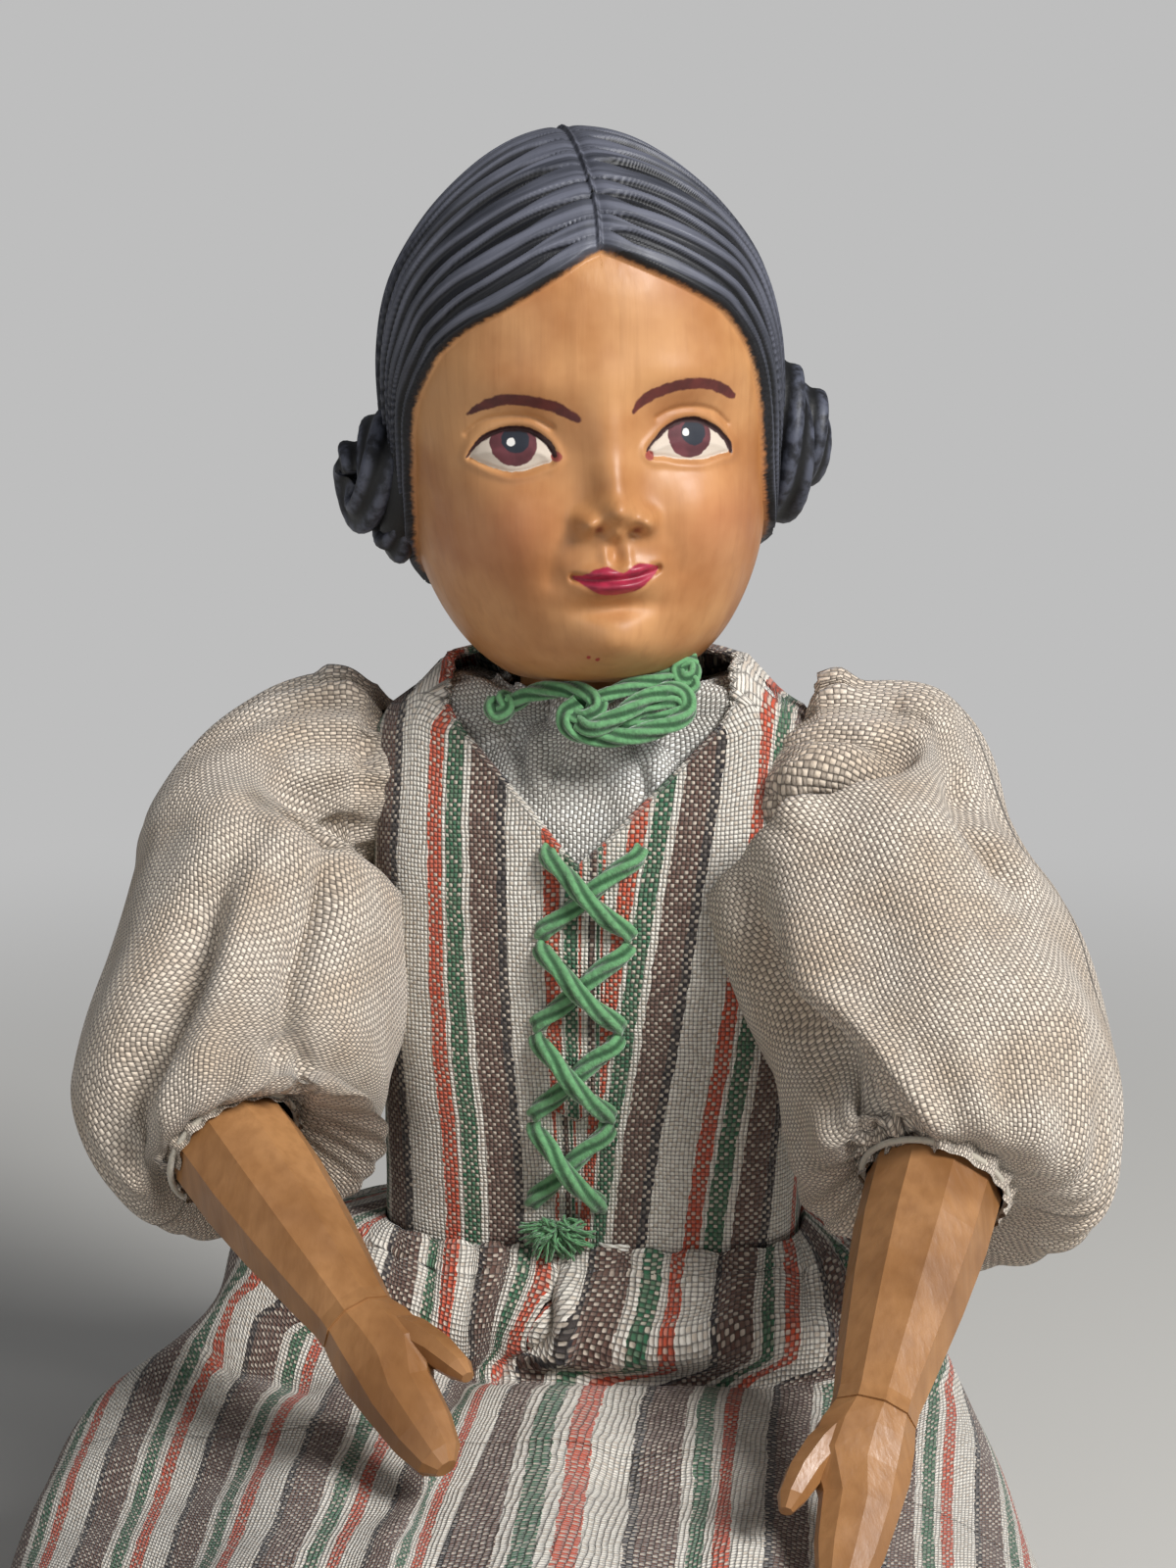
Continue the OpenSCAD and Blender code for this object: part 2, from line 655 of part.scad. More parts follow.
knee_y = hip_y - thigh_len;
knee_r = thigh_w * 0.42;
knee_w = thigh_w * 0.86;
module thigh(side) {
    wide = tongue_t + 2 * groove_fit;
    start = hip_round + groove_fit;
    color(wood)
        translate([side * leg_x, hip_y, hip_z])
            difference() {
                union() {
                    rotate([90, 0, 0])
                        loft([
                            whittled(thigh_w, thigh_w, start, facets = 16),
                            whittled(thigh_w * 1.02, thigh_w * 1.02, thigh_len * 0.4, facets = 16),
                            whittled(thigh_w * 0.94, thigh_w * 0.94, thigh_len * 0.7, facets = 16),
                            whittled(knee_w, knee_w, thigh_len - knee_r * 0.6, facets = 16)
                        ]);
                    translate([-knee_w / 2, -thigh_len, 0])
                        rotate([0, 90, 0])
                            cylinder(r = knee_r, h = knee_w, $fn = 64);
                    translate([-tongue_t / 2, 0, 0])
                        rotate([0, 90, 0])
                            cylinder(r = tongue_r, h = tongue_t, $fn = 64);
                    translate([-tongue_t / 2, -thigh_len * 0.4, -tongue_r * 0.8])
                        cube([tongue_t, thigh_len * 0.4, tongue_r * 1.6]);
                }
                translate([-wide / 2, -thigh_len, 0])
                    union() {
                        rotate([0, 90, 0])
                            cylinder(r = knee_r + groove_fit, h = wide, $fn = 64);
                        translate([0, -2 * knee_r, -2 * knee_r])
                            cube([wide, 2 * knee_r, 3 * knee_r - groove_fit]);
                        translate([0, -2 * knee_r, -2 * knee_r])
                            cube([wide, 3 * knee_r - groove_fit, 2 * knee_r]);
                    }
                translate([-thigh_w, 0, 0])
                    rotate([0, 90, 0])
                        cylinder(r = pin_r + pin_fit, h = 2 * thigh_w, $fn = 48);
                translate([-thigh_w, -thigh_len, 0])
                    rotate([0, 90, 0])
                        cylinder(r = pin_r + glue_fit, h = 2 * thigh_w, $fn = 48);
            }
}

module knee_pin(side) {
    color("burlywood")
        translate([side * leg_x - knee_w / 2, knee_y, hip_z])
            rotate([0, 90, 0])
                cylinder(r = pin_r, h = knee_w, $fn = 48);
}

// Lower leg with its carved boot, whose heel clears the surface
shin_shares = [
    [0.135, 0.84, 0.8], [0.25, 0.88, 0.86], [0.42, 0.86, 0.86], [0.6, 0.68, 0.7], [0.78, 0.52, 0.56], [0.86, 0.56, 0.6]
];
boot_w = 13;
// Boot: how far down the leg, half width, depth of the heel and of the toe
boot_shares = [
    [0.72, 0.43, 0.2, 0.21], [0.79, 0.42, 0.2, 0.22], [0.85, 0.44, 0.26, 0.3], [0.895, 0.49, 0.35, 0.41],
    [0.93, 0.52, 0.42, 0.49], [0.96, 0.53, 0.45, 0.52], [0.985, 0.5, 0.46, 0.51], [1, 0.44, 0.45, 0.47]
];

module lower_leg(side) {
    start = knee_r + 2 * groove_fit;
    color(wood)
        translate([side * leg_x, knee_y, hip_z])
            difference() {
                union() {
                    rotate([90, 0, 0])
                        loft([
                            for (k = shin_shares)
                                whittled(k[1] * thigh_w, k[2] * thigh_w, k[0] * shin_len, facets = 12)
                        ]);
                    rotate([90, 0, 0])
                        loft([
                            for (k = boot_shares)
                                oval(k[1] * boot_w, k[2] * boot_len, k[3] * boot_len, k[0] * shin_len, 20, 0.85)
                        ]);
                    translate([-tongue_t / 2, 0, 0])
                        rotate([0, 90, 0])
                            cylinder(r = knee_r, h = tongue_t, $fn = 64);
                    translate([-tongue_t / 2, -start * 2, -knee_r * 0.8])
                        cube([tongue_t, start * 2, knee_r * 1.6]);
                }
                translate([-thigh_w, 0, 0])
                    rotate([0, 90, 0])
                        cylinder(r = pin_r + pin_fit, h = 2 * thigh_w, $fn = 48);
            }
}

// Blouse: a thin skin over the chest with a gathered stand-up neck
blouse_grow = 2 * cloth_gap;
collar_r = neck_r + cloth_gap;
collar_frill = 0.5;
blouse_shares = [
    [0.48, 0.965, 0.84, 0.64], [0.56, 0.97, 0.86, 0.6], [0.72, 1, 0.93, 0.55], [0.84, 1, 0.88, 0.52],
    [0.91, 0.985, 0.78, 0.52], [0.95, 0.95, 0.73, 0.54], [0.98, 0.88, 0.69, 0.6], [0.995, 0.74, 0.66, 0.7],
    [1.005, 0.42, 0.62, 1]
];
armhole_r = arm_cap_r + 2.3;
armhole_z = shoulder_z - 0.6;
module armhole(side, r) {
    translate([side * chest_w / 6, 0, armhole_z])
        rotate([0, side * 90, 0])
            cylinder(r = r, h = chest_w, $fn = 48);
}

module blouse() {
    count = 36;
    levels = [torso_h + blouse_grow, torso_h + neck_h * 0.35, torso_h + neck_h * 0.66];
    color(cream)
        union() {
            difference() {
                body_shell(blouse_shares, blouse_grow, blouse_grow + cloth_t / 2);
                for (side = [-1, 1])
                    armhole(side, arm_cap_r + 2 * cloth_gap);
            }
            sheet(
                [for (z = levels) [
                    for (i = [0:count - 1])
                        let (a = i * 360 / count, r = collar_r + cloth_t + collar_frill * (i % 2))
                        [r * sin(a), -r * cos(a), z]
                ]],
                [for (z = levels) [
                    for (i = [0:count - 1])
                        let (a = i * 360 / count, r = collar_r + collar_frill * (i % 2))
                        [r * sin(a), -r * cos(a), z]
                ]],
                true
            );
        }
}

// Bodice with a laced V neckline, wide shoulder straps and round armholes
bodice_in = blouse_grow + cloth_t / 2 + cloth_gap;
bodice_out = bodice_in + cloth_t;
module bodice() {
    v_low = torso_h - neckline_drop;
    color(stripe)
        difference() {
            body_shell([for (k = dress_shares) k[0] == 0.47 ? [waist_z / torso_h, k[1], k[2], k[3]] : k],
                bodice_in, bodice_out);
            translate([0, -hip_d, v_low])
                rotate([-90, 0, 0])
                    linear_extrude(height = hip_d)
                        polygon([[0, 0], [neckline_w, -neckline_drop], [neckline_w, -overrun - neckline_drop],
                            [-neckline_w, -overrun - neckline_drop], [-neckline_w, -neckline_drop]]);
            translate([0, 0, torso_h - neckline_drop / 3])
                cylinder(r = collar_r + cloth_t + collar_frill + cloth_gap, h = overrun, $fn = 40);
            loft([for (k = blouse_shares) body_ring(k, blouse_grow + cloth_t / 2 + cloth_gap / 3, dress_segments)]);
            for (side = [-1, 1])
                armhole(side, armhole_r);
        }
}

// Puffed sleeve: a ring at each station from the armhole to the cuff
sleeve_segments = 20;
sleeve_rings = 12;
sleeve_r_shares = [0.66, 0.88, 0.98, 1, 1, 0.98, 0.88, 0.47];
// How far the puff's middle lies outwards of the arm, from the shoulder to the cuff
sleeve_lean_left = [-0.04, 0.01, 0.06, 0.015, 0.07];
sleeve_lean_right = [0.15, 0, -0.12, -0.22, -0.02];
function sleeve_r(side) = side > 0 ? sleeve_left_r : sleeve_right_r;
function spin_x(v, a) = [v[0], v[1] * cos(a) - v[2] * sin(a), v[1] * sin(a) + v[2] * cos(a)];
function spin_y(v, a) = [v[0] * cos(a) + v[2] * sin(a), v[1], v[2] * cos(a) - v[0] * sin(a)];
function spin_z(v, a) = [v[0] * cos(a) - v[1] * sin(a), v[0] * sin(a) + v[1] * cos(a), v[2]];
function arm_vector(side, v) = spin_x(spin_y(spin_z(v, -arm_twist(side)), -arm_spread), -arm_swing(side));
function shoulder_at() = [shoulder_x, 0, shoulder_z];
function elbow_at(side) = shoulder_at() + arm_vector(side, [0, 0, -upper_arm_len]);
function forearm_dir(side) = arm_vector(side, spin_x([0, 0, -1], -arm_bend(side)));

// The cloth is kept off the dress
function off_dress(p) =
    let (edge = p[2] < torso_h + bodice_out ? dress_x(p[1], min(p[2], torso_h * 0.985), bodice_out) + slack + cloth_t : 0)
    [max(p[0], edge), p[1], p[2]];

module sleeve(side) {
    full = sleeve_r(side);
    elbow = elbow_at(side);
    down = forearm_dir(side);
    upper = unit(elbow - shoulder_at());
    cuff = elbow + cuff_drop * down;
    seam = [chest_w / 2 + bodice_out, 0, armhole_z];
    out = [1, 0, 0];
    lean = side > 0 ? sleeve_lean_left : sleeve_lean_right;
    sag = [0, 0, -full * 0.2];
    centres = [
        seam + [full * 0.1, 0, 0],
        seam + [full * 0.35, 0, -full * 0.14],
        mix(shoulder_at(), elbow, 0.3) + full * lean[0] * out,
        mix(shoulder_at(), elbow, 0.52) + full * lean[1] * out,
        mix(shoulder_at(), elbow, 0.76) + full * lean[2] * out + sag / 4,
        mix(shoulder_at(), elbow, 1) + full * lean[3] * out + sag / 2,
        mix(elbow, cuff, 0.7) + full * lean[4] * out + sag,
        cuff
    ];
    faces = [out, unit(out + [0, 0, -0.6]), upper, upper, upper, unit(upper + down / 2), unit(upper + 2 * down), down];
    grid = [
        for (j = [0:sleeve_rings])
            let (
                t = j / sleeve_rings,
                c = curve(centres, t),
                n = unit(curve(faces, t)),
                r = mix(curve(sleeve_r_shares, t) * full, cuff_r, pow(t, 12)),
                side_way = unit(cross(n, [0, 1, 0])),
                fore = cross(n, side_way)
            )
            [
                for (i = [0:sleeve_segments - 1])
                    let (
                        a = i * 360 / sleeve_segments,
                        pleat = 1 + 0.03 * sin(a * 7) * ease(4 * abs(t - 0.5) - 0.6)
                    )
                    off_dress(c + r * pleat * (cos(a) * side_way + sin(a) * fore))
            ]
    ];
    start = [
        for (i = [0:sleeve_segments - 1])
            let (
                a = i * 360 / sleeve_segments, r = armhole_r - slack,
                way = unit(cross(out, [0, 1, 0])), fore = cross(out, way),
                p = [0, 0, armhole_z] + r * (cos(a) * way + sin(a) * fore)
            )
            [dress_x(p[1], min(p[2], torso_h * 0.985), bodice_out) + slack + cloth_t, p[1], p[2]]
    ];
    rows = concat([start], grid);
    hearts = concat([seam + [full / 2, 0, 0]], [for (j = [0:sleeve_rings]) curve(centres, mix(j / sleeve_rings, 0.5, 0.6))]);
    color(cream)
        difference() {
            mirror([side > 0 ? 0 : 1, 0, 0])
                sheet(rows, lining(rows, hearts, cloth_t), true);
            loft([for (k = dress_shares) body_ring(k, bodice_out + slack / 2, dress_segments)]);
            arm_place(side)
                loft([
                    for (k = [0.6, 0.35, 0.1])
                        whittled(fork_w * 0.85 + slack, fork_w * 0.85 + slack, -upper_arm_len * k)
                ]);
        }
}

// Elastic thread that draws the cuff in round the forearm
thread_r = 0.35;
module cuff_thread(side) {
    color(cream)
        forearm_place(side)
            translate([0, 0, -cuff_drop - 3 * thread_r])
                rotate_extrude($fn = 48)
                    translate([cuff_r - cloth_t / 2, 0])
                        circle(r = thread_r, $fn = 16);
}

// Half of the gathered skirt: a net of points from the waist to the hem in the first
// direction, and from the middle of the lap round the outside to the middle below
skirt_rows = 16;
skirt_cols = 17;
lap_z = hip_z + thigh_w / 2 + 6;
low_z = cloth_gap;
seam_x = cloth_gap / 2;
waist_x = chest_w / 2 * 0.96 + bodice_out;
waist_y = hip_d / 2 * 0.82 + bodice_out;
// A fold stands up over the right hip, under the arm
function skirt_net(side) =
    let (
        fold = side > 0 ? 0 : hip_fold,
        x = waist_x, y = waist_y, leg = leg_x * 1.15,
        half = mix(waist_z, lap_z, 0.5)
    )
    [
        [[seam_x, -y, waist_z], [x * 0.6, -y * 0.98, waist_z], [x * 0.96, -y * 0.66, waist_z],
            [x, y * 0.15, waist_z], [x * 0.74, y * 0.88, waist_z], [seam_x, y, waist_z]],
        [[seam_x, -y * 1.3, half], [x * 0.7, -y * 1.32, half],
            [x * (1.3 + 0.12 * fold), -y * 0.92, mix(half, waist_z, 0.8 * fold)],
            [x * (1.5 + 0.2 * fold), y * 0.05, mix(half, waist_z, 0.4 * fold)],
            [x * 0.95, y * 1.24, mix(waist_z, lap_z, 0.7)], [seam_x, y * 1.3, mix(waist_z, lap_z, 0.7)]],
        [[seam_x, -y * 1.32, lap_z * 1.02], [x * 0.72, -y * 1.4, lap_z * 1.02],
            [x * 1.58, -y * 1.2, lap_z * (0.95 + 0.18 * fold)], [x * 1.84, -y * 0.1, lap_z * (0.72 + 0.26 * fold)],
            [x * 1.1, y * 1.42, lap_z * 0.45], [seam_x, y * 1.5, lap_z * 0.45]],
        [[seam_x, -y * 2.3, lap_z], [leg, -y * 2.35, lap_z * 1.02], [leg_x * 2.7, -y * 2.05, lap_z * (0.88 + 0.1 * fold)],
            [skirt_spread * (0.9 + 0.08 * fold), -y * 1.2, lap_z * (0.34 + 0.4 * fold)],
            [x * 1.3, y * 1.1, low_z], [seam_x, y * 1.4, low_z]],
        [[seam_x, -skirt_len * 0.55, lap_z * 0.98], [leg, -skirt_len * 0.56, lap_z],
            [leg_x * 2.6, -skirt_len * 0.52, lap_z * 0.78], [skirt_spread, -skirt_len * 0.42, lap_z * (0.09 + 0.3 * fold)],
            [leg_x * 2, -skirt_len * 0.2, low_z], [seam_x, -skirt_len * 0.1, low_z]],
        [[seam_x, -skirt_len * 0.78, lap_z * 0.9], [leg, -skirt_len * 0.79, lap_z * 0.92],
            [leg_x * 2.35, -skirt_len * 0.78, lap_z * 0.62], [skirt_spread * 0.97, -skirt_len * 0.72, lap_z * 0.06],
            [leg_x * 1.9, -skirt_len * 0.62, low_z], [seam_x, -skirt_len * 0.56, low_z]],
        [[seam_x, -skirt_len, lap_z * 0.8], [leg, -skirt_len, lap_z * 0.82],
            [leg_x * 2.1, -skirt_len, lap_z * 0.52], [skirt_spread * 0.88, -skirt_len, lap_z * 0.045],
            [leg_x * 1.8, -skirt_len, low_z], [seam_x, -skirt_len, low_z]]
    ];
function skirt_point(net, u, v) = curve([for (row = net) curve(row, u)], v);

module skirt(side) {
    net = skirt_net(side);
    grid = [
        for (j = [0:skirt_rows])
            [
                for (i = [0:skirt_cols])
                    let (
                        u = i / skirt_cols,
                        v = j / skirt_rows,
                        p = skirt_point(net, u, v),
                        fold = cloth_t * 0.9 * sin(360 * 5 * u) * ease(u * 6) * ease((0.85 - u) * 6)
                            * ease(v * 8) * (1 - 0.5 * v)
                    )
                    [max(p[0], seam_x), p[1], max(p[2] + fold, low_z)]
            ]
    ];
    color(stripe)
        mirror([side > 0 ? 0 : 1, 0, 0])
            difference() {
                sheet(inset(grid, -cloth_t, false), grid, false);
                translate([-overrun, hip_y - hip_round - 2 * cloth_gap, -overrun])
                    cube([overrun + chest_w / 2 + 2 * cloth_gap + 1, hip_d * 1.12, 2 * overrun - lap_z * 0.4]);
            }
}

// Row of loose white hand stitches along the waist seam
stitch_count = 9;
stitch_r = 0.25;
stitch_len = 3.2;
module waist_stitches() {
    step = 1.8 * waist_x * 0.62 / stitch_count;
    color("white")
        for (k = [0:stitch_count - 1])
            let (x = (k - (stitch_count - 1) / 2) * step)
            if (abs(x - lace_x(waist_z, 0)) > stitch_len / 2 + tuft_wide * yarn_d + cloth_gap)
            translate([x - stitch_len / 2, -waist_y - cloth_t, waist_z + cloth_t])
                rotate([0, 90, 0])
                    cylinder(r = stitch_r, h = stitch_len, $fn = 16);
}

// Crossed lacing: each strand slopes over the front of the bodice, which leans a little
lace_top_w = 4.8;
lace_low_w = 3.4;
lace_lean = 1.7;
lace_rows = 4;
lace_top = torso_h - neckline_drop + yarn_d;
lace_step = (lace_top - waist_z - 2 * yarn_d) / lace_rows;
function front_y(z) =
    -lookup(z, [for (k = dress_shares) [k[0] * torso_h, k[2]]]) * hip_d / 2 - bodice_out - yarn_d / 2 - cloth_gap / 3;
function lace_x(z, share) =
    let (t = (lace_top - z) / (lace_top - waist_z))
    mix(lace_lean, -lace_lean, t) + share * mix(lace_top_w, lace_low_w, t);
module lacing() {
    color(yarn)
        for (k = [0:lace_rows - 1], side = [-1, 1])
            let (
                high = lace_top - k * lace_step - yarn_d * 0.3,
                low = lace_top - (k + 1) * lace_step + yarn_d * 0.9,
                mid = (high + low) / 2,
                lift = side > 0 ? yarn_d + cloth_gap / 3 : 0
            )
            tube([
                [lace_x(high, side), front_y(high), high],
                [lace_x(mid, side * 0.45), front_y(mid) - lift / 2, mix(high, mid, 0.55)],
                [lace_x(mid, 0), front_y(mid) - lift, mid],
                [lace_x(mid, -side * 0.45), front_y(mid) - lift / 2, mix(low, mid, 0.55)],
                [lace_x(low, -side), front_y(low), low]
            ], yarn_d / 2, 1);
}

tuft_wide = 1.9;
module lacing_tuft() {
    z = waist_z + yarn_d;
    color(yarn)
        translate([lace_x(z, 0), front_y(z) - yarn_d * 0.6, z])
            scale([tuft_wide, 0.85, 1.35])
                sphere(r = yarn_d, $fn = 12);
}

// Short yarn tied across the front of the collar, with a knot at each end and a flat bow
tie_angle = 50;
tie_knot_r = 0.6 * yarn_d;
module neck_cord() {
    r = collar_r + cloth_t + collar_frill + yarn_d / 2 + 4 * cloth_gap;
    z = torso_h + neck_h * 0.27 + yarn_d / 2;
    turns = [for (a = [-tie_angle:tie_angle / 4:tie_angle]) [r * sin(a), -r * cos(a), z]];
    bow = [
        [0.5, 0.55], [2, 0.8], [4.5, 0.7], [5.6, -0.1], [4, -0.95], [2, -0.85], [0.5, -0.55]
    ] * yarn_d;
    color(yarn)
        union() {
            tube(turns, yarn_d / 2, 1);
            for (side = [-1, 1])
                translate([side * r * sin(tie_angle), -r * cos(tie_angle), z])
                    sphere(r = tie_knot_r, $fn = 10);
            translate([0, -r - yarn_d * 0.2, z])
                scale([1.4, 0.8, 1.2])
                    sphere(r = yarn_d, $fn = 12);
            tube([for (p = bow) [p[0], -sqrt(pow(r + yarn_d, 2) - p[0] * p[0] * 0.7), z + p[1]]], yarn_d / 2, 3);
        }
}

head();
bun(1);  // hair_bun_left
bun(-1);  // hair_bun_right
neck_peg();
torso();
shoulder_peg(1);  // shoulder_peg_left
shoulder_peg(-1);  // shoulder_peg_right
upper_arm(1);  // upper_arm_left
upper_arm(-1);  // upper_arm_right
elbow_pin(1);  // elbow_pin_left
elbow_pin(-1);  // elbow_pin_right
forearm(1);  // forearm_left
forearm(-1);  // forearm_right
hip_pin(1);  // hip_pin_left
hip_pin(-1);  // hip_pin_right
thigh(1);  // thigh_left
thigh(-1);  // thigh_right
knee_pin(1);  // knee_pin_left
knee_pin(-1);  // knee_pin_right
lower_leg(1);  // lower_leg_left
lower_leg(-1);  // lower_leg_right
blouse();
sleeve(1);  // sleeve_left
sleeve(-1);  // sleeve_right
cuff_thread(1);  // cuff_thread_left
cuff_thread(-1);  // cuff_thread_right
bodice();
skirt(1);  // skirt_left
skirt(-1);  // skirt_right
waist_stitches();
lacing();
lacing_tuft();
neck_cord();
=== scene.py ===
import math

import bpy
import numpy as np
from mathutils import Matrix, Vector


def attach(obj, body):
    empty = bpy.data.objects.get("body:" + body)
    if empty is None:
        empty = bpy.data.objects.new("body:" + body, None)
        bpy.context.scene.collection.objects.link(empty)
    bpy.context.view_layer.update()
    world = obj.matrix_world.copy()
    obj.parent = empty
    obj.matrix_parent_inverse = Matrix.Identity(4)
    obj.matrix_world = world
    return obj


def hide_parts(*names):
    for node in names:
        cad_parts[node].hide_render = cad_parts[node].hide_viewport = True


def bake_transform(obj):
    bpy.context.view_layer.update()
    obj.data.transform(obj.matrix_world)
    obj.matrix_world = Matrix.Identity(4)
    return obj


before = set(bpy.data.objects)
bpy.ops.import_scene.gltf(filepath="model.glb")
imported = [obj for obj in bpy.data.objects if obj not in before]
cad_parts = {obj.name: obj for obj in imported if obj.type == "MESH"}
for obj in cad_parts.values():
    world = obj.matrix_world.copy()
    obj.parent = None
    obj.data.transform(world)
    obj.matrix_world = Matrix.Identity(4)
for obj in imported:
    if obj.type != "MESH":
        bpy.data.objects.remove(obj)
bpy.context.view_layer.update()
rng = np.random.default_rng(7)

# Sizes of the part, in mm
HEAD_H, HEAD_W, HEAD_D = 60.0, 42.0, 50.0
TORSO_H, NECK_H, WAIST_Z = 99.0, 6.0, 42.0
CHEST_W, HIP_D = 44.0, 30.0
HEAD_Z = TORSO_H + NECK_H + 0.3
HEAD_TURN, HEAD_TILT = 16, -3.5
DRESS_OUT = 2.25
SHOULDER = np.array([28.0, 0, 92.0])
UPPER, CUFF_DROP, CUFF_R, FRILL = 41.0, 9.0, 8.0, 2.0
# The puff starts on a ring round the armhole, which is a little smaller
ARMHOLE_Z, ARMHOLE_RING, ARMHOLE_R = 91.4, 8.6, 8.4
# Angle in degrees by which both upper arms stand off the body
ARM_SPREAD = 19
ARM = {
    "left": dict(
        side=1, turn=71.0, tilt=41.0, bend=31.0, full=18.0, sag=0.26, lean=(-0.1, 0.01, 0.06, 0.015, 0.07)),
    "right": dict(
        side=-1, turn=76.0, tilt=37.5, bend=59.5, full=17.0, sag=0.25, lean=(0.17, 0, -0.11, -0.2, -0.22)),
}


# Plain helpers

def curve(knots, t):
    """Smooth line through evenly spaced knots, which are numbers or points."""
    k = np.asarray(knots, float)
    n = len(k) - 1
    s = np.clip(np.asarray(t, float), 0, 1) * n
    i = np.minimum(np.floor(s).astype(int), n - 1)
    f = s - i
    k = np.concatenate([[2 * k[0] - k[1]], k, [2 * k[-1] - k[-2]]])
    f = f.reshape(f.shape + (1,) * (k.ndim - 1))
    a, b, c, d = k[i], k[i + 1], k[i + 2], k[i + 3]
    return b + f * ((c - a) + f * ((2 * a - 5 * b + 4 * c - d) + f * (3 * b - a - 3 * c + d))) / 2


def ease(t):
    t = np.clip(t, 0, 1)
    return t * t * (3 - 2 * t)


def bell(t):
    return np.exp(-t ** 2)


def mix(a, b, t):
    return a + (b - a) * t


def travel(p, axis=0):
    """Distance along a line of points, or along one axis of a grid of them."""
    far = np.cumsum(np.linalg.norm(np.diff(p, axis=axis), axis=-1), axis=axis)
    return np.insert(far, 0, 0, axis=axis)


def spokes(a, way, fore):
    """Arms of a ring: angles in radians, and the two directions that span it."""
    return np.cos(a)[:, None] * way + np.sin(a)[:, None] * fore


def unit(v):
    return v / np.maximum(np.linalg.norm(v, axis=-1, keepdims=True), 1e-9)


def turn(axis, degrees):
    a = math.radians(degrees)
    c, s = math.cos(a), math.sin(a)
    return np.array({
        "x": [[1, 0, 0], [0, c, -s], [0, s, c]],
        "y": [[c, 0, s], [0, 1, 0], [-s, 0, c]],
        "z": [[c, -s, 0], [s, c, 0], [0, 0, 1]],
    }[axis])


def rough(p, size, seed, count=7):
    """Smooth random field over points, about -1 to 1, with bumps of the given size."""
    r = np.random.default_rng(seed)
    out = np.zeros(p.shape[:-1])
    for _ in range(count):
        way = r.normal(size=p.shape[-1])
        way *= r.uniform(0.6, 1.6) / np.linalg.norm(way)
        out += np.sin(p @ way * (2 * math.pi / size) + r.uniform(0, 6.28))
    return out / math.sqrt(count)


def along(points, line, closed=False):
    """Distance from points to a line through the listed points, and the share along it."""
    q = np.asarray(line, float)
    ends = np.roll(q, -1, axis=0) if closed else q[1:]
    best = np.full(len(points), 1e9)
    share = np.zeros(len(points))
    for k, (a, b) in enumerate(zip(q, ends)):
        ab = b - a
        t = np.clip((points - a) @ ab / max(ab @ ab, 1e-9), 0, 1)
        d = np.linalg.norm(points - a - t[:, None] * ab, axis=1)
        near = d < best
        best = np.where(near, d, best)
        share = np.where(near, (k + t) / len(ends), share)
    return best, share


def inside(points, ring):
    """Signed distance to a closed outline, negative inside it."""
    q = np.asarray(ring, float)
    odd = np.zeros(len(points), bool)
    for a, b in zip(q, np.roll(q, -1, axis=0)):
        cross = (a[1] > points[:, 1]) != (b[1] > points[:, 1])
        x = a[0] + (points[:, 1] - a[1]) * (b[0] - a[0]) / (b[1] - a[1] if b[1] != a[1] else 1e-9)
        odd ^= cross & (points[:, 0] < x)
    d, _ = along(points, q, True)
    return np.where(odd, -d, d)


# The camera stands where the photograph's does: in mm and degrees, with the picture's size in pixels
CAMERA_AIM, CAMERA_FAR = np.array([-1.0, 0, 92.0]), 340.0
CAMERA_TURN, CAMERA_RISE = math.radians(8), math.radians(9)
PICTURE_W, PICTURE_H, LENS = 1200, 1600, 3060
PIXELS_PER_MM = LENS / CAMERA_FAR
VIEW_BACK = np.array([
    math.sin(CAMERA_TURN) * math.cos(CAMERA_RISE), -math.cos(CAMERA_TURN) * math.cos(CAMERA_RISE),
    math.sin(CAMERA_RISE),
])
VIEW_RIGHT = np.array([math.cos(CAMERA_TURN), math.sin(CAMERA_TURN), 0])
VIEW_UP = np.cross(VIEW_BACK, VIEW_RIGHT)
CAMERA_SPOT = CAMERA_FAR * VIEW_BACK + CAMERA_AIM


def seen(p):
    """Where points show in the camera's picture, in mm across and up at the doll."""
    q = p - CAMERA_SPOT
    return np.stack([q @ VIEW_RIGHT, q @ VIEW_UP], -1) * (CAMERA_FAR / -(q @ VIEW_BACK))[..., None]


def spot_at(px, py, y):
    """Point in the plane y, in mm, that shows at a place in the picture."""
    ray = -VIEW_BACK + (VIEW_RIGHT * (px - PICTURE_W / 2) + VIEW_UP * (PICTURE_H / 2 - py)) / LENS
    return CAMERA_SPOT + ray * (y - CAMERA_SPOT[1]) / ray[1]


def sculpt(grid, out, strokes):
    """Press creases into the front of a cloth, or raise ridges, along lines in the camera's picture."""
    n, m = grid.shape[:2]
    spot = seen(grid).reshape(-1, 2)
    front = ease(0.45 - out[..., 1] * 1.4).reshape(-1)
    rise = np.zeros(len(spot))
    for wide, tall, line in strokes:
        flat = [((x - PICTURE_W / 2) / PIXELS_PER_MM, (PICTURE_H / 2 - y) / PIXELS_PER_MM) for x, y in line]
        d, share = along(spot, smooth_line(flat, 24))
        rise += tall * bell(d / wide) * (0.35 + 0.65 * ease(3.5 * np.minimum(share, 1 - share)))
    return grid + (rise * front).reshape(n, m)[..., None] * out


def smooth_line(points, count=40, closed=False):
    p = np.asarray(points, float)
    if closed:
        p = np.vstack([p[-1], p, p[0], p[1]])
        t = np.linspace(1 / (len(p) - 1), 1 - 1 / (len(p) - 1), count + 1)[:-1]
        return curve(p, t)
    return curve(p, np.linspace(0, 1, count))


# Meshes

